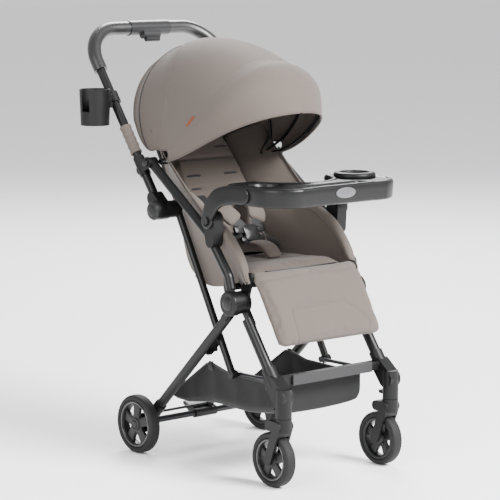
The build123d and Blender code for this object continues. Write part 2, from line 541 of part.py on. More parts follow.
def canopy_body(inset, overrun):
    """The hood's outer form, or its hollow when inset: a side outline met by a rounded front outline."""
    top = CANOPY_TOP_Z - inset
    rear_low = (ARM_PIVOT[0] + 24.0 + overrun * 0.3, ARM_PIVOT[1] + 12.0 - overrun)
    front_low = (ARM_PIVOT[0] - 30.0, ARM_PIVOT[1] + 16.0 - overrun)
    points = [front_low, (-132.0 + inset, 851.0 - overrun), (-116.0 + inset, 950.0), (-100.0 + inset, 958.0 - inset),
              (60.0, top - 6.0), (150.0, top), (235.0, top - 8.0), (288.0 - inset, 985.0 - inset),
              (296.0 - inset, 930.0), rear_low]
    width = CANOPY_HALF_WIDTH - inset
    across = Plane.XZ * Pos(0, (top + 500.0) / 2) * Rectangle(2 * width, top - 500.0)
    arch = extrude(across, 500.0, both=True)
    arch = fillet(arch.edges().filter_by(Axis.Y).sort_by(Axis.Z)[-2:], 105.0 - inset)
    return plate(points, -400.0, 400.0) & arch


parts["canopy_fabric"] = canopy_body(0.0, 0.0) - canopy_body(FABRIC, 30.0)

os.makedirs("parts", exist_ok=True)
for name, shape in parts.items():
    export_step(shape if isinstance(shape, Compound) else Compound(children=[shape]), f"parts/{name}.step")
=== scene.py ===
import bpy
import bmesh
import json
import math
import numpy as np
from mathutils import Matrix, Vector


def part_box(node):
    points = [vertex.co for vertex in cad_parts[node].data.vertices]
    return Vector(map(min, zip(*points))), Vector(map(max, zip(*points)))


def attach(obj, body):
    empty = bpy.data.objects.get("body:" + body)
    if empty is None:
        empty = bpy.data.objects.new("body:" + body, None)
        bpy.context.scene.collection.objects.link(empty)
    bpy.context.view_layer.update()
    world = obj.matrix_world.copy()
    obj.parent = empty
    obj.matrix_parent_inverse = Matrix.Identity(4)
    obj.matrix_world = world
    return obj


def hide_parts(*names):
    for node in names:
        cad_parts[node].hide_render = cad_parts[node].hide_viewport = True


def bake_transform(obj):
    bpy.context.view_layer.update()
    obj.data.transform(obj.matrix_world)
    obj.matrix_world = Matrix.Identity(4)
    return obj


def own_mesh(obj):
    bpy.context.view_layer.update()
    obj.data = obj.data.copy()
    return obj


bl_info = {
    "name": "Baby stroller builder",
    "version": (1, 0, 0),
    "blender": (4, 5, 0),
    "location": "View3D > Sidebar > Stroller",
    "description": "Builds the cloth, wheels, tray and finishes of a folding stroller around its frame",
    "category": "Add Mesh",
}

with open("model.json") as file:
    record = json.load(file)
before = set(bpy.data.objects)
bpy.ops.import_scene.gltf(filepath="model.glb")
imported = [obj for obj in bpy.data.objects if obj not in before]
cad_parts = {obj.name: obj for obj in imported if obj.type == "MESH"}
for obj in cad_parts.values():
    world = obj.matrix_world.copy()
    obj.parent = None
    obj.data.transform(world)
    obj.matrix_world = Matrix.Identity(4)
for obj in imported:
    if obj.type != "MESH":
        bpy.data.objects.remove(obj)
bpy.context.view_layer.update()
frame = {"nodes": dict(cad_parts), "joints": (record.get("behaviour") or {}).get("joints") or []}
JOINTS = {joint["name"]: joint for joint in frame["joints"]}


# ---- places in the side view, as (y, z) in metres ----
def pivot_of(joint):
    return np.array(JOINTS[joint]["pos_m"][1:])


def middle_of(node):
    low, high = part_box(node)
    return (np.array(low) + np.array(high)) / 2


def toward(point, length, degrees):
    """The side-view point at a length and a direction from another."""
    turn = math.radians(degrees)
    return np.array([point[0] + length * math.cos(turn), point[1] + length * math.sin(turn)])


HUB = pivot_of("fold")
ARM_PIVOT = pivot_of("canopy")
TRAY_PIVOT = pivot_of("tray_drop")
BACK_PIVOT = pivot_of("recline")
REST_HINGE = pivot_of("leg_rest")
KNEE = middle_of("fold_knobs")[1:]
HANDLE_LEAN = 53.9
BACK_LEAN = 60.0
REST_LEAN = 239.0
SEAT_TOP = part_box("seat_cushion")[1][2]
SIDES = (("left", 1.0), ("right", -1.0))


# ---- surfaces ----
def span(low, high, count):
    return np.linspace(low, high, count)


def grid_quads(rows, columns, wrap_rows, wrap_columns):
    """The corner numbers of every quad of a rows x columns grid of points."""
    i = np.arange(rows if wrap_rows else rows - 1)
    j = np.arange(columns if wrap_columns else columns - 1)
    a, b = (part.ravel() for part in np.meshgrid(i, j, indexing="ij"))
    c, d = (a + 1) % rows, (b + 1) % columns
    return np.stack([a * columns + b, c * columns + b, c * columns + d, a * columns + d], -1)


class Shell:
    """Collects grids of points into one mesh."""

    def __init__(self):
        self.points, self.faces, self.uvs, self.slots, self.count = [], [], [], [], 0

    def add(self, grid, wrap_rows=False, wrap_columns=False, caps=False, slot=0):
        """A grid of shape (rows, columns, 3). Its UVs are the lengths along its rows and columns, in metres.
        Caps close the first and the last row of a grid whose columns wrap round."""
        rows, columns = grid.shape[:2]
        quads = grid_quads(rows, columns, wrap_rows, wrap_columns)
        down = np.zeros((rows + 1, columns + 1))
        across = np.zeros((rows + 1, columns + 1))
        closed = np.concatenate([grid, grid[:1]], 0)
        closed = np.concatenate([closed, closed[:, :1]], 1)
        down[1:] = np.cumsum(np.linalg.norm(np.diff(closed, axis=0), axis=2), 0)
        across[:, 1:] = np.cumsum(np.linalg.norm(np.diff(closed, axis=1), axis=2), 1)
        i, j = quads[:, 0] // columns, quads[:, 0] % columns
        corners = [(i, j), (i + 1, j), (i + 1, j + 1), (i, j + 1)]
        uv = np.stack([np.stack([across[r, c], down[r, c]], -1) for r, c in corners], 1)
        self.points.append(grid.reshape(-1, 3))
        self.faces += (quads + self.count).tolist()
        self.uvs.append(uv.reshape(-1, 2))
        self.slots += [slot] * len(quads)
        if caps:
            for row in (0, rows - 1):
                ring = np.arange(columns) + row * columns + self.count
                self.faces.append(ring.tolist())
                self.slots.append(slot)
                self.uvs.append(grid[row][:, :2] * 1.0)
        self.count += rows * columns
        return self

    def tube(self, grid):
        """A grid whose columns wrap round, closed at both ends."""
        return self.add(grid, wrap_columns=True, caps=True)

    def hoop(self, grid):
        """A grid that wraps round both ways."""
        return self.add(grid, wrap_rows=True, wrap_columns=True)

    def make(self, name, closed=True, smooth=True):
        """The mesh object. A closed mesh has its doubles merged and its faces turned outward."""
        mesh = bpy.data.meshes.new(name)
        mesh.from_pydata(np.concatenate(self.points).tolist(), [], self.faces)
        layer = mesh.uv_layers.new(name="cloth")
        layer.data.foreach_set("uv", np.concatenate(self.uvs).astype(np.float32).ravel())
        mesh.polygons.foreach_set("material_index", np.array(self.slots, np.int32))
        mesh.polygons.foreach_set("use_smooth", np.full(len(mesh.polygons), smooth))
        if closed:
            shape = bmesh.new()
            shape.from_mesh(mesh)
            bmesh.ops.remove_doubles(shape, verts=shape.verts, dist=1e-6)
            bmesh.ops.dissolve_degenerate(shape, edges=shape.edges, dist=1e-7)
            bmesh.ops.recalc_face_normals(shape, faces=shape.faces)
            shape.to_mesh(mesh)
            shape.free()
        mesh.update()
        piece = bpy.data.objects.new(name, mesh)
        bpy.context.scene.collection.objects.link(piece)
        return piece


def through(points, count):
    """A smooth line through the points: a cubic between each two, with slopes from their neighbours."""
    points = np.asarray(points, float)
    steps = np.linalg.norm(np.diff(points, axis=0), axis=1)
    knots = np.concatenate([[0], np.cumsum(steps)])
    slopes = np.gradient(points, knots, axis=0)
    at = span(0, knots[-1], count)
    k = np.clip(np.searchsorted(knots, at, side="right") - 1, 0, len(points) - 2)
    length = steps[k][:, None]
    t = ((at - knots[k]) / steps[k])[:, None]
    return ((2 * t**3 - 3 * t**2 + 1) * points[k] + (t**3 - 2 * t**2 + t) * length * slopes[k]
            + (3 * t**2 - 2 * t**3) * points[k + 1] + (t**3 - t**2) * length * slopes[k + 1])


def rounded(points, radius, count=10):
    """A line of straight runs whose corners are arcs of a radius, as points."""
    points = [np.asarray(p, float) for p in points]
    line = [points[0]]
    for before, here, after in zip(points, points[1:], points[2:]):
        a, b = (before - here), (after - here)
        reach = min(radius, 0.49 * np.linalg.norm(a), 0.49 * np.linalg.norm(b))
        start, end = here + a / np.linalg.norm(a) * reach, here + b / np.linalg.norm(b) * reach
        t = span(0, 1, count)[:, None]
        line += list((1 - t)**2 * start + 2 * t * (1 - t) * here + t**2 * end)
    line.append(points[-1])
    return np.array(line)


def unit(vectors):
    return vectors / np.maximum(np.linalg.norm(vectors, axis=-1, keepdims=True), 1e-12)


def carried(path, section, up=(1.0, 0.0, 0.0), size=None, turn=None):
    """A closed section carried along a path. The section's first axis lies across the path and across up,
    its second follows up. Size scales it and turn twists it, point by point."""
    path, section = np.asarray(path, float), np.asarray(section, float)
    along = unit(np.gradient(path, axis=0))
    side = unit(np.cross(along, np.asarray(up, float)))
    lift = np.cross(side, along)
    a, b = section[None, :, 0], section[None, :, 1]
    if size is not None:
        size = np.asarray(size, float)
        size = size[:, None] if size.ndim == 1 else size
        a, b = a * size[:, :1], b * size[:, -1:]
    if turn is not None:
        c, s = np.cos(turn)[:, None], np.sin(turn)[:, None]
        a, b = a * c - b * s, a * s + b * c
    return path[:, None] + side[:, None] * a[..., None] + lift[:, None] * b[..., None]


def ring_section(width, height, power=2.0, count=24):
    """A closed oval or rounded box: |a / width|^power + |b / height|^power = 1."""
    t = np.arange(count) * 2 * np.pi / count
    c, s = np.cos(t), np.sin(t)
    scale = (np.abs(c)**power + np.abs(s)**power)**(-1 / power)
    return np.stack([width * c * scale, height * s * scale], -1)


def turned(profile, centre, count=64):
    """A profile of (x, radius) pairs turned about the X direction through a side-view point."""
    profile = np.asarray(profile, float)
    t = np.arange(count) * 2 * np.pi / count
    x = np.repeat(profile[:, :1], count, 1)
    r = profile[:, 1:]
    return np.stack([x, centre[0] + r * np.cos(t), centre[1] + r * np.sin(t)], -1)


def rod(shell, path, radius, up=(1.0, 0.0, 0.0), slot=0, count=16):
    """A round rod with domed ends along a path."""
    path = np.asarray(path, float)
    first, last = unit(path[0] - path[1]), unit(path[-1] - path[-2])
    lead = np.array([1.0, 0.75, 0.35])[:, None]
    dome = np.array([0.02, 0.6, 0.92])
    path = np.concatenate([path[0] + first * radius * lead, path, path[-1] + last * radius * lead[::-1]])
    size = np.concatenate([dome, np.ones(len(path) - 6), dome[::-1]])
    return shell.add(carried(path, ring_section(radius, radius, count=count), up, size),
                     wrap_columns=True, caps=True, slot=slot)


def side_line(x, points):
    return [(x, float(y), float(z)) for y, z in points]


# ---- finishes ----
class Value:
    """A shader socket, so that sums of sockets are written as Python expressions."""

    def __init__(self, paint, socket):
        self.paint, self.socket = paint, socket

    def math(self, operation, *others, flip=False):
        terms = [self, *others][::-1] if flip else [self, *others]
        return self.paint.node("ShaderNodeMath", {"operation": operation}, *terms)

    def __add__(self, other):
        return self.math("ADD", other)

    def __sub__(self, other):
        return self.math("SUBTRACT", other)

    def __rsub__(self, other):
        return self.math("SUBTRACT", other, flip=True)

    def __mul__(self, other):
        return self.math("MULTIPLY", other)

    __radd__, __rmul__ = __add__, __mul__

    def above(self, edge):
        return self.math("GREATER_THAN", edge)

    def wave(self):
        return self.math("SINE")

    def size(self):
        return self.math("ABSOLUTE")


class Paint:
    """A material on the Principled shader, and the maker of its nodes."""

    def __init__(self, name, **constants):
        self.material = bpy.data.materials.new(name)
        self.material.use_nodes = True
        self.tree = self.material.node_tree
        self.shader = self.tree.nodes["Principled BSDF"]
        for socket, value in constants.items():
            self.shader.inputs[socket.replace("_", " ")].default_value = value

    def node(self, kind, settings=None, *inputs, output=0, **named):
        """A node of a type: its settings, then the values or links of its sockets, by order or by name."""
        made = self.tree.nodes.new(kind)
        for key, value in (settings or {}).items():
            if key == "stops":
                stops = made.color_ramp.elements
                for index, (place, colour) in enumerate(value):
                    stop = stops[index] if index < 2 else stops.new(place)
                    stop.position, stop.color = place, colour
            else:
                setattr(made, key, value)
        pairs = list(enumerate(inputs)) + [(key.replace("_", " "), value) for key, value in named.items()]
        for key, value in pairs:
            if isinstance(value, Value):
                self.tree.links.new(value.socket, made.inputs[key])
            elif value is not None:
                made.inputs[key].default_value = value
        return Value(self, made.outputs[output])

    def place(self, scale=(1, 1, 1), turn=(0, 0, 0)):
        """Object coordinates, scaled and turned."""
        source = self.node("ShaderNodeTexCoord", output="Object")
        return self.node("ShaderNodeMapping", {}, source, None, turn, scale)

    def cloth_place(self, scale):
        source = self.node("ShaderNodeUVMap", {"uv_map": "cloth"})
        return self.node("ShaderNodeMapping", {}, source, None, (0, 0, 0), scale)

    def axes(self, vector):
        split = self.tree.nodes.new("ShaderNodeSeparateXYZ")
        self.tree.links.new(vector.socket, split.inputs[0])
        return [Value(self, socket) for socket in split.outputs]

    def noise(self, place, scale, detail=2.0, roughness=0.5):
        return self.node("ShaderNodeTexNoise", {}, Vector=place, Scale=scale, Detail=detail,
                         Roughness=roughness)

    def blend(self, share, first, second):
        """Colour first at share 0 and second at share 1."""
        mixed = self.tree.nodes.new("ShaderNodeMix")
        mixed.data_type = "RGBA"
        for socket, value in ((mixed.inputs[0], share), (mixed.inputs[6], first), (mixed.inputs[7], second)):
            if isinstance(value, Value):
                self.tree.links.new(value.socket, socket)
            else:
                socket.default_value = value
        return Value(self, mixed.outputs[2])

    def set(self, **sockets):
        for name, value in sockets.items():
            socket = self.shader.inputs[name.replace("_", " ")]
            if isinstance(value, Value):
                self.tree.links.new(value.socket, socket)
            else:
                socket.default_value = value
        return self

    def bump(self, height, depth, strength=1.0):
        """Relief: a height from 0 to 1, as deep as depth in metres."""
        relief = self.node("ShaderNodeBump", {}, Strength=strength, Distance=depth, Height=height)
        self.tree.links.new(relief.socket, self.shader.inputs["Normal"])
        return self


def tone(colour, factor):
    return (colour[0] * factor, colour[1] * factor, colour[2] * factor, 1.0)


def woven(name, colour, thread=0.0011, sheen=0.15, melange=0.10, rough=0.86, on_surface=False,
          relief=0.00022):
    """Plain-woven cloth: two crossed thread waves, over and under each other in turn, with flecked yarn."""
    paint = Paint(name, Sheen_Weight=sheen, Sheen_Roughness=0.45, Specular_IOR_Level=0.25)
    turns = 2 * math.pi / thread
    if on_surface:
        a, b, _ = paint.axes(paint.cloth_place((turns, turns, 1)))
    else:
        x, y, z = paint.axes(paint.place((turns, turns, turns)))
        a, b = x + y * 0.35, z + y * 0.8
    warp, weft = a.wave().size(), b.wave().size()
    over = ((a * 0.5).wave() * (b * 0.5).wave()).above(0.0)
    height = warp * over + weft * (1 - over)
    place = paint.place()
    fleck = paint.noise(place, 900.0, 3.0, 0.7)
    cloudy = paint.noise(place, 9.0, 2.0, 0.5)
    # Besides the fleck and the cloud, the height term lightens the threads' crowns and darkens the valleys between
    # them: painted shade of the weave.
    shade = (fleck - 0.5) * (melange * 3.2) + (cloudy - 0.5) * 0.09 + (height - 0.6) * 0.10 + 0.5
    paint.set(Base_Color=paint.blend(shade, tone(colour, 0.72), tone(colour, 1.28)),
              Roughness=(fleck - 0.5) * 0.12 + rough)
    return paint.bump(height * 0.6 + fleck * 0.4, relief, 0.7).material


def ribbed(name, colour, pitch, rough=0.6):
    """Webbing: ribs across the strap, and a woven grain along it."""
    paint = Paint(name, Sheen_Weight=0.15, Specular_IOR_Level=0.35)
    along = paint.axes(paint.cloth_place((1, 1, 1)))[1]
    ribs = (along * (2 * math.pi / pitch)).wave() * 0.5 + 0.5
    grain = paint.noise(paint.place(), 700.0, 2.0)
    # The ribs also set the colour, lighter on their crowns and darker in the grooves between them: painted shade.
    paint.set(Base_Color=paint.blend(ribs * 0.5 + grain * 0.5, tone(colour, 0.6), tone(colour, 1.5)),
              Roughness=grain * 0.2 + (rough - 0.1))
    return paint.bump(ribs * 0.8 + grain * 0.2, 0.0003, 0.8).material


def painted(name, colour, rough=0.36, coat=0.25, grain=2600.0, relief=0.00002, metal=0.0, wear=0.10):
    """Powder coat or moulded plastic: a fine grain, uneven gloss, and faint rubbed patches."""
    paint = Paint(name, Coat_Roughness=0.25, Specular_IOR_Level=0.22)
    place = paint.place()
    fine = paint.noise(place, grain, 2.0, 0.6)
    broad = paint.noise(place, 22.0, 3.0, 0.55)
    rubbed = paint.noise(place, 85.0, 4.0, 0.7)
    patch = ((rubbed - 0.56) * 6.0).math("MAXIMUM", 0.0).math("MINIMUM", 1.0)
    share = patch * wear + (broad - 0.5) * 0.25 + 0.25
    paint.set(Base_Color=paint.blend(share, tone(colour, 0.88), tone(colour, 1.35)),
              Roughness=(broad - 0.5) * 0.14 + (fine - 0.5) * 0.10 + patch * 0.05 + rough,
              Metallic=metal, Coat_Weight=coat)
    return paint.bump(fine, relief, 0.6).material


def drawn_steel(name, colour, rough=0.3):
    """Plated tube: fine lines along X and light cloudiness."""
    paint = Paint(name, Metallic=1.0)
    lines = paint.noise(paint.place((30.0, 2200.0, 2200.0)), 1.0, 2.0, 0.6)
    cloud = paint.noise(paint.place(), 30.0, 2.0)
    paint.set(Base_Color=paint.blend(lines * 0.6 + cloud * 0.4, tone(colour, 0.75), tone(colour, 1.2)),
              Roughness=(lines - 0.5) * 0.15 + cloud * 0.1 + rough)
    return paint.bump(lines, 0.00001, 0.4).material


def foam_tyre(name, colour):
    """Foam rubber: matt, with fine pores and dust in the low places."""
    paint = Paint(name, Specular_IOR_Level=0.3)
    place = paint.place()
    pores = paint.noise(place, 1500.0, 3.0, 0.7)
    dust = paint.noise(place, 18.0, 4.0, 0.6)
    # The pores term darkens the pores' low places: painted shade. The dust term adds broad, lighter dust.
    paint.set(Base_Color=paint.blend(dust * 0.6 + pores * 0.3, tone(colour, 0.7), tone(colour, 1.9)),
              Roughness=dust * 0.15 + 0.62)
    return paint.bump(pores, 0.00008, 0.7).material


def pad_foam(name, colour):
    """The grip's sleeve: smooth foam leather with a fine pebble."""
    paint = Paint(name, Coat_Roughness=0.3)
    place = paint.place()
    pebble = paint.node("ShaderNodeTexVoronoi", {"feature": "SMOOTH_F1"}, Vector=place, Scale=620.0)
    cloud = paint.noise(place, 25.0, 2.0)
    # The pebble also sets the colour, darker in its dimples: painted shade.
    paint.set(Base_Color=paint.blend(pebble * 0.5 + cloud * 0.4, tone(colour, 0.75), tone(colour, 1.3)),
              Roughness=pebble * 0.12 + cloud * 0.1 + 0.28, Coat_Weight=0.35)
    return paint.bump(pebble, 0.00006, 0.6).material


def pale_floor(name, colour):
    paint = Paint(name, Specular_IOR_Level=0.2)
    grain = paint.noise(paint.place(), 40.0, 2.0)
    paint.set(Base_Color=paint.blend(grain * 0.3, tone(colour, 1.0), tone(colour, 0.985)), Roughness=0.75)
    return paint.material


FINISHES = {}


def finish_of(name):
    if name not in FINISHES:
        looks = bpy.context.scene.stroller_colours
        cloth, dark, metal = tuple(looks.cloth), tuple(looks.plastic), tuple(looks.frame)
        makers = {
            "cloth": lambda: woven("taupe cloth", cloth, looks.thread),
            "cloth_sheet": lambda: woven("taupe hood cloth", cloth, looks.thread, on_surface=True),
            # The welt finish, on the welts, bindings, hems and piping, is 0.85 of the cloth's colour: painted shade
            # standing for the dark line along the seams.
            "welt": lambda: woven("taupe welt", tuple(c * 0.85 for c in cloth), looks.thread * 0.7),
            "dark_welt": lambda: woven("dark binding", (0.02, 0.02, 0.021), looks.thread * 0.7, sheen=0.1),
            "basket": lambda: woven("black basket cloth", (0.0040, 0.0040, 0.0042), 0.0016, sheen=0.12,
                                    melange=0.05, rough=0.7, on_surface=True),
            "webbing": lambda: ribbed("black webbing", (0.0050, 0.0050, 0.0052), 0.0022),
            "frame": lambda: painted("charcoal frame", metal, rough=0.38, coat=0.06),
            "plastic": lambda: painted("black moulding", dark, rough=0.5, coat=0.05, relief=0.00005),
            "tray": lambda: painted("satin tray", tuple(looks.tray), rough=0.36, coat=0.08, relief=0.00003),
            "rim": lambda: painted("dark wheel", (0.0080, 0.0080, 0.0085), rough=0.42, coat=0.1),
            "ring": lambda: painted("glossy ring", (0.0040, 0.0040, 0.0042), rough=0.12, coat=0.9),
            "grip": lambda: pad_foam("grip sleeve", (0.0040, 0.0040, 0.0042)),
            "housing": lambda: painted("grip housing", (0.016, 0.016, 0.017), rough=0.36, coat=0.2),
            "grey": lambda: painted("grey moulding", (0.020, 0.020, 0.021), rough=0.45, coat=0.1),
            "dark_grey": lambda: painted("slate moulding", (0.0075, 0.0075, 0.0080), rough=0.42, coat=0.1),
            "badge": lambda: painted("plain badge", (0.09, 0.09, 0.095), rough=0.3, coat=0.4, wear=0.03),
            "steel": lambda: drawn_steel("plated tube", (0.045, 0.045, 0.048)),
            "tyre": lambda: foam_tyre("foam tyre", (0.0050, 0.0050, 0.0050)),
            "tag": lambda: painted("stitched tag", (0.16, 0.040, 0.012), rough=0.6, coat=0.0, relief=0.0001),
            "thread": lambda: woven("stitching", tuple(c * 0.8 for c in cloth), 0.0006),
            "floor": lambda: pale_floor("pale floor", tuple(looks.floor)),
        }
        FINISHES[name] = makers[name]()
    return FINISHES[name]


def dress(piece, *finishes, body=None, stands_for=(), across=None):
    """Gives a piece its finishes and its slot, and fixes it to a body, or bends it across a joint."""
    piece.data.materials.clear()
    for finish in finishes:
        piece.data.materials.append(finish_of(finish))
    if across:
        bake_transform(piece)
    else:
        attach(piece, body)
    if stands_for:
        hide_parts(*stands_for)
    return piece


# ---- the hood ----
# Each row: place along the hood, angle at the crown, angle at the foot, lean of the rib, crown radius,
# half-width, squareness of the arch, and where the foot ends as a share of the crown radius.
HOOD = np.array([
    [0.0, 62.0, 40.0, 0.70, 0.287, 0.181, 2.2, 0.500],
    [1.0, 71.0, 42.0, 0.70, 0.289, 0.182, 2.1, 0.150],
    [2.0, 79.3, 103.0, 0.80, 0.292, 0.182, 2.1, 0.110],
    [2.5, 103.0, 127.0, 0.75, 0.300, 0.182, 2.4, 0.130],
    [3.0, 128.5, 145.0, 0.65, 0.317, 0.182, 2.8, 0.170],
    [3.30, 136.0, 152.0, 0.72, 0.342, 0.182, 2.8, 0.160],
    [3.60, 144.0, 160.0, 1.15, 0.353, 0.181, 2.7, 0.145],
    [4.0, 158.0, 173.0, 2.60, 0.346, 0.181, 2.3, 0.120]])
HOOD_SLOPES = np.gradient(HOOD, HOOD[:, 0], axis=0)
HOOD_REAR, HOOD_PIPING, HOOD_BACK_RIB, HOOD_FRONT_RIB, HOOD_HEM = 0.0, 1.0, 2.0, 3.0, 4.0
HOOD_HOLLOW = 0.012         # how far the cloth draws in between its ribs, as a share of the radius


def hood_at(place, side, inset=0.0):
    """Points of the hood. Place runs from its rear edge to its hem, side from -1 at the right foot to 1 at
    the left. A rib is the arch |x / a|^n + |r / b|^n = 1 about the pivot, and its angle leans from crown to foot.
    Between the table's rows every value is a cubic with the rows' slopes."""
    place, side = np.asarray(place, float), np.asarray(side, float)
    row = np.clip(np.searchsorted(HOOD[:, 0], place, side="right") - 1, 0, len(HOOD) - 2)
    step = HOOD[row + 1, 0] - HOOD[row, 0]
    t = (place - HOOD[row, 0]) / step
    here, there = 2 * t**3 - 3 * t**2 + 1, 3 * t**2 - 2 * t**3
    leaving, reaching = (t**3 - 2 * t**2 + t) * step, (t**3 - t**2) * step
    crown, foot, lean, radius, half, power, end = (
        here * HOOD[row, k] + leaving * HOOD_SLOPES[row, k] + there * HOOD[row + 1, k]
        + reaching * HOOD_SLOPES[row + 1, k] for k in range(1, 8))
    last = np.arctan((end**-power - 1)**(1 / power))
    phi = side * last
    c, s = np.cos(phi), np.sin(phi)
    scale = (np.abs(c)**power + np.abs(s)**power)**(-1 / power)
    share = c * scale
    drawn = 1 - HOOD_HOLLOW * np.sin(np.pi * (place % 1.0))**2 * (place < 3.05)
    r = (radius * drawn - inset) * share
    angle = np.radians(crown + (foot - crown) * ((1 - share) / (1 - end))**lean)
    x = (half - inset) * s * scale
    return np.stack([x, ARM_PIVOT[0] + r * np.cos(angle), ARM_PIVOT[1] + r * np.sin(angle)], -1)


def hood_panel(low, high, rows, columns=121):
    place, side = np.meshgrid(span(low, high, rows), span(-1, 1, columns), indexing="ij")
    return hood_at(place, side)


def hood_line(place, inset=0.0, reach=1.0, count=121):
    return hood_at(np.full(count, place), span(-reach, reach, count), inset)


def hood_hinge(low, high):
    """Start and end points of the bend of a panel between two ribs."""
    radius = 0.2
    middle = [np.interp(place, HOOD[:, 0], (HOOD[:, 1] * 0.5 + HOOD[:, 2] * 0.5)) for place in (low, high)]
    return [(0.0, *toward(ARM_PIVOT, radius, degrees)) for degrees in middle]


def solidify(piece, thickness, offset=-1.0, levels=0):
    wall = piece.modifiers.new("wall", "SOLIDIFY")
    wall.thickness, wall.offset = thickness, offset
    wall.use_even_offset = True
    if levels:
        soft = piece.modifiers.new("soften", "SUBSURF")
        soft.levels = soft.render_levels = levels
    return piece


def area_of(grid):
    """The area of a grid of points, by the cross products of its quads' diagonals."""
    a, b = grid[1:, 1:] - grid[:-1, :-1], grid[1:, :-1] - grid[:-1, 1:]
    return float(np.linalg.norm(np.cross(a, b), axis=-1).sum() / 2)


def as_sheet(grid):
    """Declares a sheet cut to its own size, as its panels are cut flat and sewn."""
    area = area_of(grid)


def facing_out(grid, centre):
    """Turns a grid's rows round if its faces look towards a point."""
    normal = np.cross(grid[1:, 1:] - grid[:-1, :-1], grid[1:, :-1] - grid[:-1, 1:])
    away = grid[:-1, :-1] - np.asarray(centre)
    return grid[::-1] if (normal * away).sum() < 0 else grid


HOOD_MIDDLE = (0.0, ARM_PIVOT[0], ARM_PIVOT[1] + 0.05)


def make_hood(looks):
    """Three panels over three bows, with their seams, hems, piping and tag."""
    bends = {"rear": ("side_arms", "bow_rear"), "crown": ("bow_rear", "bow_middle"),
             "front": ("bow_middle", "bow_front")}
    ranges = {"rear": (HOOD_REAR, HOOD_BACK_RIB, 45), "crown": (HOOD_BACK_RIB, HOOD_FRONT_RIB, 61),
              "front": (HOOD_FRONT_RIB, HOOD_HEM, 61)}
    for name, (low, high, rows) in ranges.items():
        grid = facing_out(hood_panel(low, high, rows), HOOD_MIDDLE)
        piece = solidify(Shell().add(grid).make("hood_" + name + "_panel", closed=False), looks.hood_cloth)
        ends = hood_hinge(HOOD_PIPING if name == "rear" else low, high)
        dress(piece, "cloth_sheet", across=(*bends[name], *ends),
              stands_for=("canopy_fabric",) if name == "crown" else ())
        as_sheet(grid)
    # Welts: cord sewn into the seams over the bows, and the binding of the hem.
    edges = (("hood_back_welt", HOOD_BACK_RIB, "welt", 0.0013, "bow_rear"),
             ("hood_front_welt", HOOD_FRONT_RIB, "welt", 0.0013, "bow_middle"),
             ("hood_hem_binding", HOOD_HEM, "welt", 0.0026, "bow_front"))
    for name, place, finish, radius, body in edges:
        shell = rod(Shell(), hood_line(place, 0.0), radius, count=8)
        dress(shell.make(name), finish, body=body)
    rear = rod(Shell(), hood_line(HOOD_REAR), 0.0022, count=8)
    dress(rear.make("hood_rear_binding"), "welt", body="side_arms")
    piping = rod(Shell(), hood_line(HOOD_PIPING, -0.0006), looks.piping, count=8)
    dress(piping.make("hood_dark_piping"), "dark_welt",
          across=("side_arms", "bow_rear", *hood_hinge(HOOD_PIPING, HOOD_BACK_RIB)))
    # Side hems join the feet of the ribs.
    for side, sign in SIDES:
        for bodies, (low, high, _) in ranges.items():
            line = hood_at(span(low, high, 30), np.full(30, sign))
            ends = hood_hinge(HOOD_PIPING if bodies == "rear" else low, high)
            dress(rod(Shell(), line, 0.0022, count=8).make(f"hood_{bodies}_side_hem_{side}"), "welt",
                  across=(*bends[bodies], *ends))
    # The bows: flat spring rods sewn behind the seams, with eyes on the canopy pin.
    for name, place in (("rear", HOOD_BACK_RIB), ("middle", HOOD_FRONT_RIB), ("front", HOOD_HEM - 0.12)):
        low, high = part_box("canopy_bow_" + name)
        line = hood_line(place, 0.0058, 0.97)
        for end in (0, -1):
            foot = np.array([[math.copysign(high[0] - 0.0035, line[end][0]), ARM_PIVOT[0], ARM_PIVOT[1]]])
            join = foot + (line[end] - foot) * span(0.12, 0.9, 8)[:, None]
            line = np.concatenate([join, line]) if end == 0 else np.concatenate([line, join[::-1]])
        shell = Shell().tube(carried(line, ring_section(0.0028, 0.0042, 3.0, 12), (1, 0, 0)))
        for sign in (1, -1):
            eye = high[0] - 0.0035
            shell.hoop(turned([(sign * (eye - 0.002), 0.0041), (sign * (eye - 0.002), 0.0078),
                              (sign * (eye + 0.002), 0.0078), (sign * (eye + 0.002), 0.0041)], ARM_PIVOT, 24))
        dress(shell.make("hood_bow_" + name), "plastic", body="bow_" + name,
              stands_for=("canopy_bow_" + name,))
    # A stitched tag on the front seam.
    place, side = np.meshgrid(span(2.93, 2.995, 6), span(-0.800, -0.735, 14), indexing="ij")
    outer = hood_at(place, side, -0.0024)
    inner = hood_at(place, side, -0.0004)
    tag = Shell()
    rim = np.stack([np.concatenate([g[0], g[1:, -1], g[-1, -2::-1], g[-2:0:-1, 0]]) for g in (inner, outer)])
    tag.add(outer).add(inner[::-1]).add(rim, wrap_columns=True)
    dress(tag.make("hood_tag"), "tag", body="bow_middle")


# ---- padding ----
class Slope:
    """A flat side-view frame: run along it, rise off it."""

    def __init__(self, origin, run_degrees, rise_degrees):
        self.origin = np.asarray(origin, float)
        self.run = np.array([math.cos(math.radians(run_degrees)), math.sin(math.radians(run_degrees))])
        self.rise = np.array([math.cos(math.radians(rise_degrees)), math.sin(math.radians(rise_degrees))])

    def at(self, x, run, rise):
        x, run, rise = np.broadcast_arrays(x, run, rise)
        yz = self.origin + run[..., None] * self.run + rise[..., None] * self.rise
        return np.concatenate([x[..., None], yz], -1)

    def read(self, points):
        """(x, run, rise) of points."""
        off = points[:, 1:] - self.origin
        return points[:, 0], off @ self.run, off @ self.rise


BACK = Slope(BACK_PIVOT, BACK_LEAN, BACK_LEAN + 90)
REST = Slope(REST_HINGE, REST_LEAN, REST_LEAN - 90)
SEAT = Slope((0.0, SEAT_TOP), 180.0, 90.0)


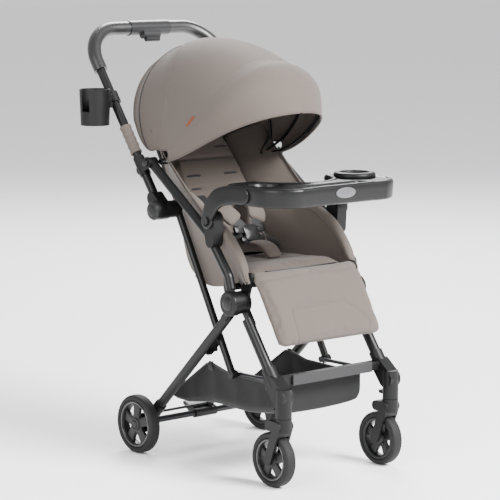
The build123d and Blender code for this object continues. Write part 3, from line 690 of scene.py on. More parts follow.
def loft(slope, runs, widths, lows, highs, power=4.0, rows=64, columns=96, ends=5.0):
    """A closed pad along a slope: a rounded-box section |x / w|^n + |h / t|^n = 1 whose half-width and
    thickness follow the run, and which closes at both ends as (1 - |t|^m)^(1 / m)."""
    t = np.sin(span(-1, 1, rows) * np.pi / 2)
    at = (t + 1) / 2
    knots = span(0, 1, len(widths))
    run = runs[0] + (runs[1] - runs[0]) * at
    close = (1 - np.abs(t)**ends)**(1 / ends)
    close[[0, -1]] = 0.02
    width = np.interp(at, knots, widths) * (0.72 + 0.28 * close)
    low, high = np.interp(at, knots, lows), np.interp(at, knots, highs)
    middle, half = (low + high) / 2, (high - low) / 2 * close
    ring = ring_section(1.0, 1.0, power, columns)
    x = width[:, None] * ring[None, :, 0]
    rise = middle[:, None] + half[:, None] * ring[None, :, 1]
    return slope.at(x, np.repeat(run[:, None], columns, 1), rise)


def read_points(piece):
    points = np.empty(len(piece.data.vertices) * 3, np.float32)
    piece.data.vertices.foreach_get("co", points)
    return points.reshape(-1, 3).astype(float)


def write_points(piece, points):
    piece.data.vertices.foreach_set("co", points.astype(np.float32).ravel())
    piece.data.update()


def settle(piece):
    """Puts a piece's modifiers into its mesh."""
    seen = bpy.context.evaluated_depsgraph_get()
    mesh = bpy.data.meshes.new_from_object(piece.evaluated_get(seen))
    piece.modifiers.clear()
    piece.data = mesh
    mesh.polygons.foreach_set("use_smooth", np.ones(len(mesh.polygons), bool))
    return piece


def plump(piece, voxel, cap, pressure=4.0):
    """Stuffs a pad: remeshes it, lets the cloth swell under pressure for twenty frames, and limits how far
    each point has moved."""
    bpy.context.view_layer.update()
    remesh = piece.modifiers.new("voxels", "REMESH")
    remesh.mode, remesh.voxel_size = "VOXEL", voxel
    settle(piece)
    start = read_points(piece)
    cloth = piece.modifiers.new("cloth", "CLOTH")
    cloth.settings.use_pressure = True
    cloth.settings.uniform_pressure_force = pressure
    cloth.settings.quality = 4
    cloth.settings.tension_stiffness = cloth.settings.compression_stiffness = 18
    cloth.settings.bending_stiffness = 0.6
    cloth.settings.effector_weights.gravity = 0
    cloth.collision_settings.use_collision = False
    for step in range(1, 21):
        bpy.context.scene.frame_set(step)
    settle(piece)
    bpy.context.scene.frame_set(1)
    moved = read_points(piece) - start
    far = np.linalg.norm(moved, axis=1, keepdims=True)
    write_points(piece, start + moved * np.minimum(1, cap / np.maximum(far, 1e-9)))
    soft = piece.modifiers.new("soften", "SUBSURF")
    soft.levels = soft.render_levels = 1
    return settle(piece)


def near_line(x, y, line):
    """Distances from points to a line of straight runs, all in one plane."""
    line = np.asarray(line, float)
    a, b = line[:-1], line[1:]
    here = np.stack([x, y], -1)[:, None]
    along = b - a
    t = np.clip(((here - a) * along).sum(-1) / (along**2).sum(-1), 0, 1)
    return np.linalg.norm(here - (a + along * t[..., None]), axis=-1).min(1)


def sew(piece, slope, lines, depth, width, above=0.0):
    """Presses sewn channels into a pad's upper face: each point sinks by depth * exp(-(d / width)^2)."""
    points = read_points(piece)
    x, run, rise = slope.read(points)
    sunk = np.zeros(len(points))
    for line in lines:
        sunk = np.maximum(sunk, np.exp(-(near_line(x, run, line) / width)**2))
    face = np.clip((rise - above) / 0.006, 0, 1)
    points[:, 1:] -= np.outer(sunk * depth * face, slope.rise)
    write_points(piece, points)
    return piece


def on_pad(piece, slope, line, count=80, lift=0.0):
    """A smooth line laid on a pad's upper face: x and run given, rise found by a ray from above."""
    flat = through(line, count)
    bpy.context.view_layer.update()
    out = []
    direction = Vector((0.0, *(-slope.rise)))
    for x, run in flat:
        start = Vector(slope.at(np.array(x), np.array(run), np.array(0.2)).tolist())
        hit, place, _, _ = piece.ray_cast(start, direction)
        if hit:
            out.append(np.array(place) + np.array([0, *slope.rise]) * lift)
    return np.array(out)


def stitched(name, piece, slope, lines, body, radius=0.00045, gap=0.0042):
    """Rows of stitches on a pad: short capsules laid end to end along each line."""
    shell = Shell()
    for line in lines:
        path = on_pad(piece, slope, line, 200, radius * 0.2)
        far = np.concatenate([[0], np.cumsum(np.linalg.norm(np.diff(path, axis=0), axis=1))])
        starts = np.arange(0.002, far[-1] - gap, gap)
        for start in starts:
            at = span(start, start + gap * 0.62, 4)
            run = np.stack([np.interp(at, far, path[:, k]) for k in range(3)], -1)
            shell.tube(carried(run, ring_section(radius, radius, count=5), size=np.array([0.3, 1, 1, 0.3])))
    return dress(shell.make(name), "thread", body=body)


def piped(name, path, radius, finish, **fixing):
    return dress(rod(Shell(), path, radius, count=8).make(name), finish, **fixing)


VOXEL = 0.005                   # size of the voxels in which the pads are remeshed
SEAM_WIDTH = 0.0045             # half-width of a sewn channel
BACK_WIDTHS = (0.118, 0.124, 0.124, 0.122, 0.112, 0.096)
BACK_BORDER = ((0.101, 0.04), (0.101, 0.212), (0.085, -0.03))    # (x, run); the last run is from the top
BACK_CROSS_SEAMS = (0.212, 0.292)
SLIT_RUNS = (0.245, 0.318)
SEAT_WIDTHS = (0.120, 0.123, 0.124, 0.140, 0.158, 0.160)
REST_REACH = 0.188              # length of the leg rest below its hinge
REST_SPREAD = (0.0, 0.003, 0.003, 0.003, 0.002, -0.002)          # past the half-width of its box
REST_TOPS = (0.018, 0.027, 0.029, 0.030, 0.029, 0.027)
REST_OUTLINE = ((-0.112, REST_REACH - 0.010), (-0.108, 0.108), (-0.104, 0.103), (0.055, 0.096), (0.062, 0.098),
                (0.118, 0.150), (0.121, 0.158), (0.112, REST_REACH - 0.010))


def stuffed(name, grid, swell, slope, seams, finish_on, stands_for):
    """A pad from its loft: plumped, sewn along groups of (lines, depth, width, above), dressed and declared."""
    pad = plump(Shell().tube(grid).make(name), VOXEL, swell)
    for lines, depth, width, above in seams:
        sew(pad, slope, lines, depth, width, above)
    dress(pad, "cloth", body=finish_on, stands_for=(stands_for,))
    return pad


def make_pads(looks):
    """The three stuffed pads: backrest, seat and leg rest."""
    # Backrest, with a sewn border and cross channels between which it swells.
    length = (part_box("back_pad")[1][2] - BACK_PIVOT[1]) / BACK.run[1] - 0.006
    grid = loft(BACK, (0.030, length), BACK_WIDTHS, (0.0046,) * 6, (0.026,) * 6)
    across = [[(-0.2, run), (0.2, run)] for run in BACK_CROSS_SEAMS]
    border = [[(sign * x, run if run > 0 else length + run) for x, run in BACK_BORDER] for sign in (-1, 1)]
    back = stuffed("back_cushion", grid, looks.swell, BACK, [(across + border, 0.0045, SEAM_WIDTH, 0.010)],
                   "backrest", "back_pad")
    slits = Shell()
    for sign in (1, -1):
        for run in SLIT_RUNS:
            line = [(sign * 0.036, run), (sign * 0.058, run + 0.0008), (sign * 0.080, run)]
            path = on_pad(back, BACK, line, 30, 0.0002)
            narrow = np.interp(span(-1, 1, len(path)), [-1, -0.8, 0.8, 1], [0.2, 1, 1, 0.2])
            slits.tube(carried(path, ring_section(0.0030, 0.0009, 2.5, 12), (0, *BACK.rise), narrow))
    dress(slits.make("harness_slits"), "dark_welt", body="backrest")

    # Seat cushion: broad in front of the struts, narrow between them.
    (_, front, low), (_, rear, _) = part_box("seat_cushion")
    grid = loft(SEAT, (-rear + 0.003, -front + 0.006), SEAT_WIDTHS, (low - SEAT_TOP + 0.002,) * 6, (-0.008,) * 6)
    lines = [[(sign * 0.104, -rear + 0.02), (sign * 0.104, 0.03), (sign * 0.124, 0.09)] for sign in (-1, 1)]
    lines.append([(-0.16, 0.046), (0.16, 0.046)])
    stuffed("seat_pad", grid, looks.swell, SEAT, [(lines, 0.0035, SEAM_WIDTH, -0.02)], "side_arms", "seat_cushion")

    # Leg rest: rounded lower corners, a crease below the seat, and a sewn outline near its foot.
    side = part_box("leg_rest_pad")[1][0]
    grid = loft(REST, (-0.010, REST_REACH), [side + spread for spread in REST_SPREAD], (-0.003,) * 6, REST_TOPS,
                rows=72, ends=9.0)
    seams = [([REST_OUTLINE], 0.0022, 0.0030, 0.010), ([[(-side, 0.020), (side, 0.020)]], 0.0030, 0.0050, 0.010)]
    rest = stuffed("leg_rest_cushion", grid, looks.swell * 0.8, REST, seams, "leg_rest", "leg_rest_pad")
    inner = [(x * 0.965, 0.1 + (run - 0.1) * 0.97 + 0.004) for x, run in REST_OUTLINE]
    stitched("leg_rest_stitching", rest, REST, [inner[:4], inner[3:6], inner[5:]], "leg_rest")


# ---- side fabric between the arms, the seat and the backrest ----
WING_EDGE = [(0.214, 0.806), (0.137, 0.726), (0.068, 0.664), (0.0, 0.612), (-0.061, 0.580), (-0.109, 0.531),
             (-0.145, 0.470)]
WING_FOOT = [toward(BACK_PIVOT, 0.362, BACK_LEAN), toward(BACK_PIVOT, 0.30, BACK_LEAN),
             toward(BACK_PIVOT, 0.15, BACK_LEAN), BACK_PIVOT + (0.012, 0.008), BACK_PIVOT - (0.04, 0.014),
             (-0.03, 0.441), (-0.112, 0.452)]
WING_X = 0.1775                 # at its front edge, against the arm tubes' inner faces
WING_FOOT_X = ((0, 0.30, 0.66, 0.82, 1), (0.106, 0.116, 0.126, 0.138, 0.156))
CURTAIN_FOOT = 0.118            # half-width on the backrest


def bent(start, end):
    """The bodies and the two places between which the side cloth follows the backrest."""
    return ("side_arms", "backrest", (0, *start), (0, *end))


def make_wing(name, sign):
    """A sheet from the front edge to the seat's side. Its width bows out as 1 - (1 - v)^1.7 from edge to foot."""
    rows, columns = 60, 40
    arm, foot, v = through(WING_EDGE, rows), through(WING_FOOT, rows), span(0, 1, columns)
    x_foot = np.interp(span(0, 1, rows), *WING_FOOT_X)
    belly = 0.004 * np.sin(np.pi * v)[None] * np.sin(np.pi * span(0.05, 1, rows))[:, None]
    x = WING_X + (x_foot[:, None] - WING_X) * (1 - (1 - v[None])**1.7) + belly
    yz = arm[:, None] * (1 - v[None, :, None]) + foot[:, None] * v[None, :, None]
    yz[..., 1] -= 0.004 * (1 - v[None])
    grid = facing_out(np.concatenate([sign * x[..., None], yz], -1), (0.0, 0.05, 0.6))
    wing = solidify(Shell().add(grid).make("side_wing_" + name, closed=False), 0.0018)
    hinge, square = toward(BACK_PIVOT, 0.24, BACK_LEAN), BACK_LEAN + 90
    dress(wing, "cloth_sheet", across=bent(toward(hinge, 0.085, square), toward(hinge, 0.012, square)),
          stands_for=("side_panels",) if sign > 0 else ())
    as_sheet(grid)


def make_sides(looks):
    """Wings, the rolls of padding along the arms, and the curtain behind."""
    for name, sign in SIDES:
        make_wing(name, sign)
        path = np.array(side_line(sign * 0.1675, through(WING_EDGE[2:], 50)))
        path[:, 2] -= 0.006
        swell = np.interp(span(0, 1, 50), [0, 0.12, 0.5, 0.85, 1], [0.15, 0.75, 1.0, 0.95, 0.3])
        roll = Shell().tube(carried(path, ring_section(0.010, 0.0125, 2.4, 28), (1, 0, 0), swell))
        bolster = dress(roll.make("arm_bolster_" + name), "cloth", body="side_arms")
        edge = np.array(side_line(sign * (WING_X - 0.001), through(WING_EDGE[1:], 90)))
        piped("wing_piping_" + name, edge, 0.0019, "welt", body="side_arms")
    # The curtain that joins the hood's rear edge to the top of the backrest.
    count, foot_run = 81, 0.362
    top = hood_at(np.full(count, HOOD_REAR), span(-0.96, 0.96, count), 0.003)
    foot_x = np.clip(top[:, 0] * 0.80, -CURTAIN_FOOT, CURTAIN_FOOT)
    back = BACK.at(foot_x, np.full(count, foot_run), np.full(count, -0.006))
    t = span(0, 1, 30)[:, None, None]
    grid = top[None] * (1 - t) + back[None] * t
    grid[..., 1] += 0.016 * np.sin(np.pi * t[..., 0])
    grid = facing_out(grid, (0.0, 0.1, 0.8))
    curtain = solidify(Shell().add(grid).make("hood_curtain", closed=False), 0.0012)
    dress(curtain, "cloth_sheet", across=bent(toward(BACK_PIVOT, 0.50, BACK_LEAN), toward(BACK_PIVOT, 0.36, BACK_LEAN)))
    as_sheet(grid)


# ---- harness ----
STRAP_THICK = 0.0022
BUCKLE_TILT = math.radians(30.0)


def strap(path, width, thickness, up, shell=None):
    """Flat webbing: a thin rounded-box section along a path, flat side towards up."""
    return (shell or Shell()).tube(carried(path, ring_section(width / 2, thickness / 2, 5.0, 20), up))


def small_pad(path, width, thick, up):
    """A short stuffed sleeve: an oval section along a path, closing at its ends as (1 - |t|^6)^(1 / 3)."""
    t = span(-1, 1, len(path))
    close = np.maximum((1 - np.abs(t)**6)**(1 / 3), 0.05)
    size = np.stack([0.55 + 0.45 * close, close], -1)
    return carried(path, ring_section(width / 2, thick / 2, 3.0, 40), up, size)


def plate(shell, centre, outline, low, high):
    """A rounded plate on the buckle's slope: an outline scaled by (1 - |h|^3)^(1 / 3) through its thickness."""
    across = np.array([1.0, 0, 0])
    up = np.array([0, math.sin(BUCKLE_TILT), math.cos(BUCKLE_TILT)])
    out = np.array([0, -math.cos(BUCKLE_TILT), math.sin(BUCKLE_TILT)])
    h = np.sin(span(-1, 1, 14) * np.pi / 2)
    scale = 0.86 + 0.14 * (1 - np.abs(h)**3.0)**(1 / 3.0)
    scale[[0, -1]] = 0.0
    x, y, z = centre
    grid = (middle_of("buckle") + across * x + up * y
            + outline[None, :, :1] * scale[:, None, None] * across
            + outline[None, :, 1:] * scale[:, None, None] * up
            + ((low + high) / 2 + (high - low) / 2 * h + z)[:, None, None] * out)
    shell.add(grid, wrap_columns=True)


def make_harness(looks):
    """Shoulder straps with sleeves, waist straps, the crotch sleeve and the buckle, round the CAD button."""
    back_rise = (0, *BACK.rise)
    _, y, z = middle_of("buckle")
    webbing = Shell()
    for name, sign in SIDES:
        ends = [BACK.at(np.array([sign * x]), np.array([run]), np.array([rise]))[0]
                for x, run, rise in ((0.059, 0.250, 0.028), (0.060, 0.185, 0.036))]
        path = through([*ends, (sign * 0.046, y + 0.036, z + 0.050), (sign * 0.022, y + 0.003, z + 0.016)], 60)
        strap(path, 0.030, STRAP_THICK, back_rise, webbing)
        waist = [(sign * 0.116, BACK_PIVOT[0] - 0.028, SEAT_TOP + 0.012), (sign * 0.080, y + 0.030, SEAT_TOP + 0.034),
                 (sign * 0.030, y + 0.002, z + 0.002)]
        strap(through(waist, 40), 0.025, STRAP_THICK, (0, -0.5, 0.86), webbing)
        sleeve = Shell().tube(small_pad(path[28:54], 0.050, 0.017, back_rise)).make("shoulder_pad_" + name)
        dress(sleeve, "cloth", body="backrest", stands_for=("shoulder_harness",) if sign > 0 else ())
    dress(webbing.make("harness_webbing"), "webbing", body="backrest")
    seat_end = np.array([0.0, y - 0.092, SEAT_TOP + 0.004])
    crotch = through([seat_end, seat_end + [0, 0.030, 0.022], (0, y - 0.016, z - 0.020)], 40)
    sleeve = Shell().tube(small_pad(crotch, 0.046, 0.015, (0, -0.6, 0.8))).make("crotch_sleeve")
    dress(sleeve, "cloth", body="side_arms", stands_for=("crotch_pad",))
    # Buckle: a waisted body with side tongues, rounded all over.
    buckle = Shell()
    body = ring_section(0.027, 0.022, 3.6, 48)
    body[:, 0] *= 1 - 0.16 * np.cos(np.pi * body[:, 1] / 0.044)**2 * (np.abs(body[:, 0]) > 0.012)
    plate(buckle, (0, 0, 0), body, -0.0065, 0.0068)
    for sign in (1, -1):
        plate(buckle, (sign * 0.031, 0.012, 0), ring_section(0.017, 0.011, 4.0, 32), -0.0035, 0.0045)
        plate(buckle, (sign * 0.024, -0.015, 0), ring_section(0.013, 0.008, 4.0, 32), -0.003, 0.0045)
    dress(buckle.make("buckle_body"), "dark_grey", body="side_arms", stands_for=("buckle",))


# ---- basket ----
BASKET_CLOTH = 0.0014
BASKET_EDGE = ((-0.152, -0.018, 0.045, 0.062), (0.226, 0.229, 0.244, 0.240))      # (y, z) between its two ends
BASKET_FLOOR = ((-0.19, -0.08, 0.07, 0.15), (0.155, 0.147, 0.139, 0.134))
BASKET_ENDS = ((0.2335, 0.163), (0.146, 0.140))                 # edge and floor, in front and behind


def make_basket(looks):
    """An open sling: each row runs up one side wall, across the floor and up the other, its corners rounded as
    |c|^9 + |s|^9 = 1. It rides on the rear legs and gathers towards their foot as the stroller folds."""
    (_, front, _), (half, rear, _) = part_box("basket")
    rows, columns = 70, 121
    y = span(front + 0.001, rear - 0.004, rows)
    edge, floor = (np.interp(y, [front, *line[0], rear], [BASKET_ENDS[0][k], *line[1], BASKET_ENDS[1][k]])
                   for k, line in enumerate((BASKET_EDGE, BASKET_FLOOR)))
    floor = floor + 0.0035 * np.cos(span(0, 3 * np.pi, rows))
    side = span(-1, 1, columns)
    width = half - 0.0012
    c, s = np.cos(side * np.pi / 2), np.sin(side * np.pi / 2)
    scale = (np.abs(c)**9 + np.abs(s)**9)**(-1 / 9)
    deep = np.clip(c * scale, 0, 1)
    z = edge[:, None] + (floor - edge)[:, None] * deep[None]
    sag = 0.006 * np.cos(np.pi / 2 * side)**2 * (deep > 0.9)
    drawn = 1 - 0.02 * np.abs(np.sin(np.pi * deep)[None] * np.sin(span(0, 5 * np.pi, rows))[:, None])
    grid = np.stack([(width * s * scale)[None] * drawn, np.broadcast_to(y[:, None], z.shape), z - sag[None]], -1)

    def fixed(piece, finish, stands=()):
        dress(piece, finish, body="rear_frame", stands_for=stands)
        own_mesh(piece)

    grid = facing_out(grid, (0, 0, 0.24))
    sling = solidify(Shell().add(grid).make("basket_sling", closed=False), BASKET_CLOTH)
    fixed(sling, "basket", ("basket",))
    as_sheet(grid)
    # The front panel fills the first row's outline, up to the level of its ends.
    outline = grid[int(np.argmin(grid[:, 0, 1]))]
    level = outline[0, 2]
    panel = np.stack([np.stack([outline[:, 0], outline[:, 1], level + (outline[:, 2] - level) * k], -1)
                      for k in span(0, 1, 24)])
    panel = facing_out(panel, (0, 0, 0.2))
    wall = solidify(Shell().add(panel).make("basket_panel_front", closed=False), BASKET_CLOTH)
    fixed(wall, "basket")
    as_sheet(panel)
    for name, sign in SIDES:
        line = np.stack([np.full(rows, sign * width), y, edge], -1)
        fixed(rod(Shell(), line, 0.0026, count=10).make("basket_hem_" + name), "webbing")
        for at in (0.12, 0.64):
            k = int(at * (rows - 1))
            loop = line[k] + np.array([(0, 0, 0.004), (sign * 0.004, 0, 0), (sign * 0.001, 0, -0.018)])
            fixed(strap(through(loop, 16), 0.016, 0.0016, (sign, 0, 0.2)).make(f"basket_tab_{name}_{k}"), "webbing")


# ---- tray ----
TRAY_HALF, TRAY_REAR, TRAY_BOTTOM = 0.203, -0.092, 0.651
TRAY_CORNER, TRAY_BELLY = 0.090, 0.110
TRAY_FOLD = 0.008               # radius of its upper edge
TRAY_WELL = np.array([TRAY_HALF - 0.062, TRAY_REAR - 0.078])
WELL_DEEP, TROUGH_DEEP = 0.036, 0.026
LUG_X = 0.2135                  # middle of the tray's arms
ARM_LINE = ((LUG_X, *TRAY_PIVOT), (LUG_X, -0.0585, 0.634), (0.2125, -0.083, 0.660), (0.2080, -0.125, 0.6725),
            (0.2015, -0.185, 0.6735))
BOSS = ((-0.004, 0.0002), (-0.004, 0.0188), (0.0025, 0.0192), (0.0040, 0.0175), (0.0042, 0.0102), (0.0028, 0.0098),
        (0.0028, 0.0002))       # (out from the arm, radius)
CUP_RING = ((0.0345, -0.010), (0.0345, 0.0085), (0.0360, 0.0105), (0.0400, 0.0110), (0.0480, 0.0095),
            (0.0500, 0.0070), (0.0510, -0.003))                 # (radius, height over the top)
BADGE = ((1.0, -0.0015), (1.0, 0.0010), (0.95, 0.0017), (0.86, 0.0020), (0.001, 0.0020))  # (share of outline, out)


def smooth_step(value, low, high):
    """0 below low, 1 above high, and t^2 (3 - 2 t) between."""
    t = np.clip((value - low) / (high - low), 0, 1)
    return t * t * (3 - 2 * t)


def tray_top(front, top):
    """The tray's upper face as a grid. Its outline is a rounded front and a round cut for the child's middle; its
    height falls into the wells and the trough by smooth steps, round which stand lips of exp(-(d / w)^2)."""
    columns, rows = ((181, 101))
    half, rear, fold, corner = TRAY_HALF, TRAY_REAR, TRAY_FOLD, TRAY_CORNER
    x = np.sin(span(-1, 1, columns) * np.pi / 2) * (half - fold)
    out = np.clip(np.abs(x) - (half - corner), 0, corner - fold)
    front_edge = front + fold + (corner - fold) - np.sqrt(np.maximum((corner - fold)**2 - out**2, 0))
    front_edge = np.maximum(front_edge - 0.004 * np.cos(np.pi / 2 * x / half), front + fold)
    bay = TRAY_BELLY + fold
    rear_edge = np.where(np.abs(x) < bay, rear + 0.012 - np.sqrt(np.maximum(bay**2 - x**2, 0)), rear - fold)
    rear_edge = np.minimum(rear_edge, rear - fold - 0.012 * smooth_step(np.abs(x), half - 0.03, half))
    v = (1 - np.cos(span(0, 1, rows) * np.pi)) / 2
    y = front_edge[None] + (rear_edge - front_edge)[None] * v[:, None]
    x = np.broadcast_to(x[None], y.shape)
    to_well = np.hypot(np.abs(x) - TRAY_WELL[0], y - TRAY_WELL[1])
    trough_half, trough_y = TRAY_WELL[0] - 0.045, front + 0.036
    qx, qy = np.abs(x) - (trough_half - 0.010), np.abs(y - trough_y) - 0.013
    to_trough = np.hypot(np.maximum(qx, 0), np.maximum(qy, 0)) + np.minimum(np.maximum(qx, qy), 0) - 0.010
    dip = (WELL_DEEP * (1 - smooth_step(to_well, 0.0335, 0.0385))
           + TROUGH_DEEP * (1 - smooth_step(to_trough, -0.003, 0.003)))
    lip = (0.0016 * np.exp(-((to_well - 0.0415) / 0.0022)**2)
           + 0.0012 * np.exp(-((to_trough - 0.006) / 0.0022)**2))
    from_ends = np.minimum(v, 1 - v)[:, None] * (rear_edge - front_edge)[None]
    dish = 0.0024 * smooth_step(np.minimum(from_ends, (half - fold) - np.abs(x)), 0.003, 0.010)
    return np.stack([x, y, top - dip + lip - dish], -1)


def make_tray(looks):
    """A moulded tray: the upper face, a rounded skirt round it, arms, a raised ring and a blank plate."""
    (_, front, _), (_, _, top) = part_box("tray")
    grid = tray_top(front, top)
    ring = np.concatenate([grid[0], grid[1:, -1], grid[-1, -2::-1], grid[-2:0:-1, 0]])
    step = np.roll(ring, -1, 0) - np.roll(ring, 1, 0)
    away = unit(np.stack([step[:, 1], -step[:, 0], 0 * step[:, 0]], -1))
    for _ in range(3):
        away = unit(np.roll(away, 1, 0) + 2 * away + np.roll(away, -1, 0))
    turn, fold, floor_z = span(0, np.pi / 2, 7), TRAY_FOLD, TRAY_BOTTOM - top
    profile = [(fold * math.sin(a), -fold * (1 - math.cos(a))) for a in turn]
    profile += [(fold - 0.0004, -0.018), (fold - 0.0012, -0.030)]
    profile += [(fold - 0.0018 - 0.005 * (1 - math.cos(a)), floor_z + 0.005 - 0.005 * math.sin(a)) for a in turn]
    skirt = np.stack([ring + away * out_by + np.array([0, 0, down]) for out_by, down in profile])
    under, inner = grid.copy(), ring.copy()
    under[..., 2] = inner[:, 2] = TRAY_BOTTOM
    shell = Shell().add(grid).add(skirt, wrap_columns=True)
    shell.add(np.stack([skirt[-1], inner]), wrap_columns=True).add(under[::-1])
    # Arms: a rounded plate down to the pivot, round-ended, with a boss.
    count, at = 50, span(0, 1, 50)
    broad = np.interp(at, [0, 0.35, 0.6, 1], [0.95, 1.15, 1.18, 1.12])
    thick = np.interp(at, [0, 0.4, 1], [1.0, 1.3, 1.5])
    bulge = np.concatenate([np.sqrt(1 - (1 - span(0.05, 1, 8))**2), np.ones(34), np.sqrt(1 - span(0, 0.97, 8)**2)])
    size = np.stack([broad * bulge, thick], -1)
    for _, sign in SIDES:
        path = through(np.array(ARM_LINE) * [sign, 1, 1], count)
        shell.tube(carried(path, ring_section(0.019, 0.0040, 5.0, 36), (sign, 0, 0), size))
        shell.tube(turned([(sign * (LUG_X + out), r) for out, r in BOSS], TRAY_PIVOT, 48))
    dress(shell.make("tray_shell"), "tray", body="tray", stands_for=("tray",))
    # The far well's insert ring stands proud of the top.
    t = np.arange(72) * 2 * np.pi / 72
    c, s, level = np.cos(t), np.sin(t), np.ones(72)
    grid = np.stack([np.stack([TRAY_WELL[0] + r * c, TRAY_WELL[1] + r * s, (top + h) * level], -1)
                     for r, h in CUP_RING])
    dress(Shell().hoop(grid).make("tray_cup_ring"), "plastic", body="tray")
    # A blank oval plate on the front wall.
    middle = (top + TRAY_BOTTOM) / 2 + 0.004
    grid = np.stack([np.stack([0.030 * c * k, (front + 0.0002 - out) * level, middle + 0.0125 * s * k], -1)
                     for k, out in BADGE])
    dress(Shell().tube(grid).make("tray_blank_badge"), "badge", body="tray")


# ---- wheels ----
# Profiles as (out from the wheel's middle, radius). Those under a tyre count their radius from the seat of the tyre.
TYRE_DEEP = 0.0152
BAND = ((-0.0112, 0.0015), (0.0112, 0.0015), (0.0118, -0.001), (0.0105, -0.0065), (0.008, -0.0075),
        (-0.008, -0.0075), (-0.0105, -0.0065), (-0.0118, -0.001))
GLOSSY_RING = ((0.0110, -0.0005), (0.0126, -0.0008), (0.0133, -0.003), (0.0126, -0.0056), (0.0108, -0.0062))
WHEEL_HUB = ((-0.0105, 0.0002), (-0.0105, 0.0150), (0.0100, 0.0165), (0.0120, 0.0150), (0.0124, 0.0110),
             (0.0112, 0.0105), (0.0112, 0.0002))
HUB_CAP = ((0.0108, 0.0002), (0.0108, 0.0098), (0.0122, 0.0094), (0.0131, 0.0070), (0.0134, 0.0002))
SPOKES = 5
LARGE_WHEEL = 0.0725            # radius for which the spokes' widths are given


def make_wheel(end, name, sign):
    """One wheel. Each spoke widens towards the rim as a + b t^2, and towards the hub as c (1 - t)^3."""
    low, high = (np.array(corner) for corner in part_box(f"{end}_tyre_{name}"))
    centre, radius = (low[1:] + high[1:]) / 2, (high[2] - low[2]) / 2
    middle, width = (low[0] + high[0]) / 2, (high[0] - low[0]) / 2
    seat, body = radius - TYRE_DEEP, f"{end}_wheel_{name}"

    def lathe(profile, count, base=0.0):
        return turned([(middle + sign * out, base + r) for out, r in profile], centre, count)

    # Tyre: a rounded-box section with two fine grooves round the tread.
    section = ring_section(width - 0.0004, 0.0074, 3.2, 64)
    tread = np.exp(-((np.abs(section[:, 0]) - 0.0052) / 0.0009)**2) * (section[:, 1] > 0)
    r = radius - 0.0076 + section[:, 1] - 0.0009 * tread
    tyre = turned(np.stack([middle + section[:, 0], r], -1), centre, 120)
    dress(Shell().hoop(tyre).make(f"{end}_foam_tyre_{name}"), "tyre", body=body, stands_for=(f"{end}_tyre_{name}",))
    # Rim: a channel under the tyre, a hub and broad spokes.
    shell = Shell().hoop(lathe(BAND, 96, seat)).tube(lathe(WHEEL_HUB, 64))
    reach = span(0.012, seat - 0.005, 26)
    part = (reach - reach[0]) / (reach[-1] - reach[0])
    broad = (0.0098 + 0.0075 * part**2 + 0.0035 * (1 - part)**3) * radius / LARGE_WHEEL
    size = np.stack([broad, np.full(26, 0.0052)], -1)
    for k in range(SPOKES):
        angle = math.radians(90 + 360 / SPOKES * k)
        path = np.stack([middle + sign * (0.0045 - 0.0035 * part), centre[0] + reach * math.cos(angle),
                         centre[1] + reach * math.sin(angle)], -1)
        shell.tube(carried(path, ring_section(1.0, 1.0, 5.0, 28), (1, 0, 0), size))
    dress(shell.make(f"{end}_wheel_rim_{name}"), "rim", body=body, stands_for=(f"{end}_rim_{name}",))
    dress(Shell().hoop(lathe(GLOSSY_RING, 96, seat)).make(f"{end}_glossy_ring_{name}"), "ring", body=body)
    dress(Shell().tube(lathe(HUB_CAP, 48)).make(f"{end}_hub_cap_{name}"), "dark_grey", body=body)


def make_wheels(looks):
    """All four wheels."""
    for end in ("rear", "front"):
        for name, sign in SIDES:
            make_wheel(end, name, sign)


# ---- small parts on the frame ----
DOME = ((0.0, 1.0), (0.45, 0.94), (0.8, 0.68), (1.0, 0.25))     # (share of the rise, share of the radius)
SLEEVE_RUN = (0.160, 0.236)     # of the cloth sleeves, up the handle from the knee


def make_details(looks):
    """Domed caps on the pivots, and the cloth sleeves that tie the hood to the handle tubes."""
    knob, head = (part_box(name)[1][0] for name in ("fold_knobs", "handle_lugs"))
    spots = {"side_arms": [(0.2092, HUB, 0.0165, 0.003)],
             "handle": [(knob - 0.0004, KNEE, 0.0150, 0.0022), (head - 0.0004, ARM_PIVOT, 0.0085, 0.0030)]}
    for body, places in spots.items():
        shell = Shell()
        for _, sign in SIDES:
            for x, place, radius, rise in places:
                rings = [(x - 0.0015, 0.0001), (x - 0.0015, radius),
                         *((x + rise * up, radius * share) for up, share in DOME), (x + rise, 0.0001)]
                shell.tube(turned([(sign * out, r) for out, r in rings], place, 32))
        dress(shell.make(body + "_rivets"), "dark_grey", body=body)
    count, circle = 40, ring_section(1.0, 1.0, 2.0, 40)
    for name, sign in SIDES:
        line = np.array([(sign * 0.2, *toward(KNEE, run, HANDLE_LEAN)) for run in span(*SLEEVE_RUN, count)])
        creased = (0.0136 + 0.0007 * np.sin(span(0, 9 * np.pi, count))
                   + 0.0006 * (np.abs(span(-1, 1, count)) > 0.93))
        outer, inner = (carried(line, circle, (1, 0, 0), size) for size in (creased, np.full(count, 0.0118)))
        whole = np.concatenate([outer, inner[::-1]])
        dress(Shell().hoop(whole).make("hood_sleeve_" + name), "cloth_sheet", body="handle")


# ---- finishes of the parts that are shown as they are ----
PLAIN = {finish: tuple(starts.split()) for finish, starts in {
    "frame": "rear_leg front_leg side_arm strut handle_tube seat_frame",
    "steel": "leg_rest_tube rear_axle_tube basket_rail", "grip": "grips", "housing": "grip_housing",
    "grey": "footrest_cap",
    "dark_grey": "fold_button buckle_button swivel_lock tray_button fold_knobs brake_pedal"}.items()}



def finish_frame(looks):
    """Gives every CAD node its finish, on the object and not on its mesh."""
    for name, piece in frame["nodes"].items():
        finish = next((key for key, starts in PLAIN.items() if name.startswith(starts)), "plastic")
        if not piece.material_slots:
            piece.data.materials.append(None)
        for slot in piece.material_slots:
            slot.link = "OBJECT"
            slot.material = finish_of(finish)


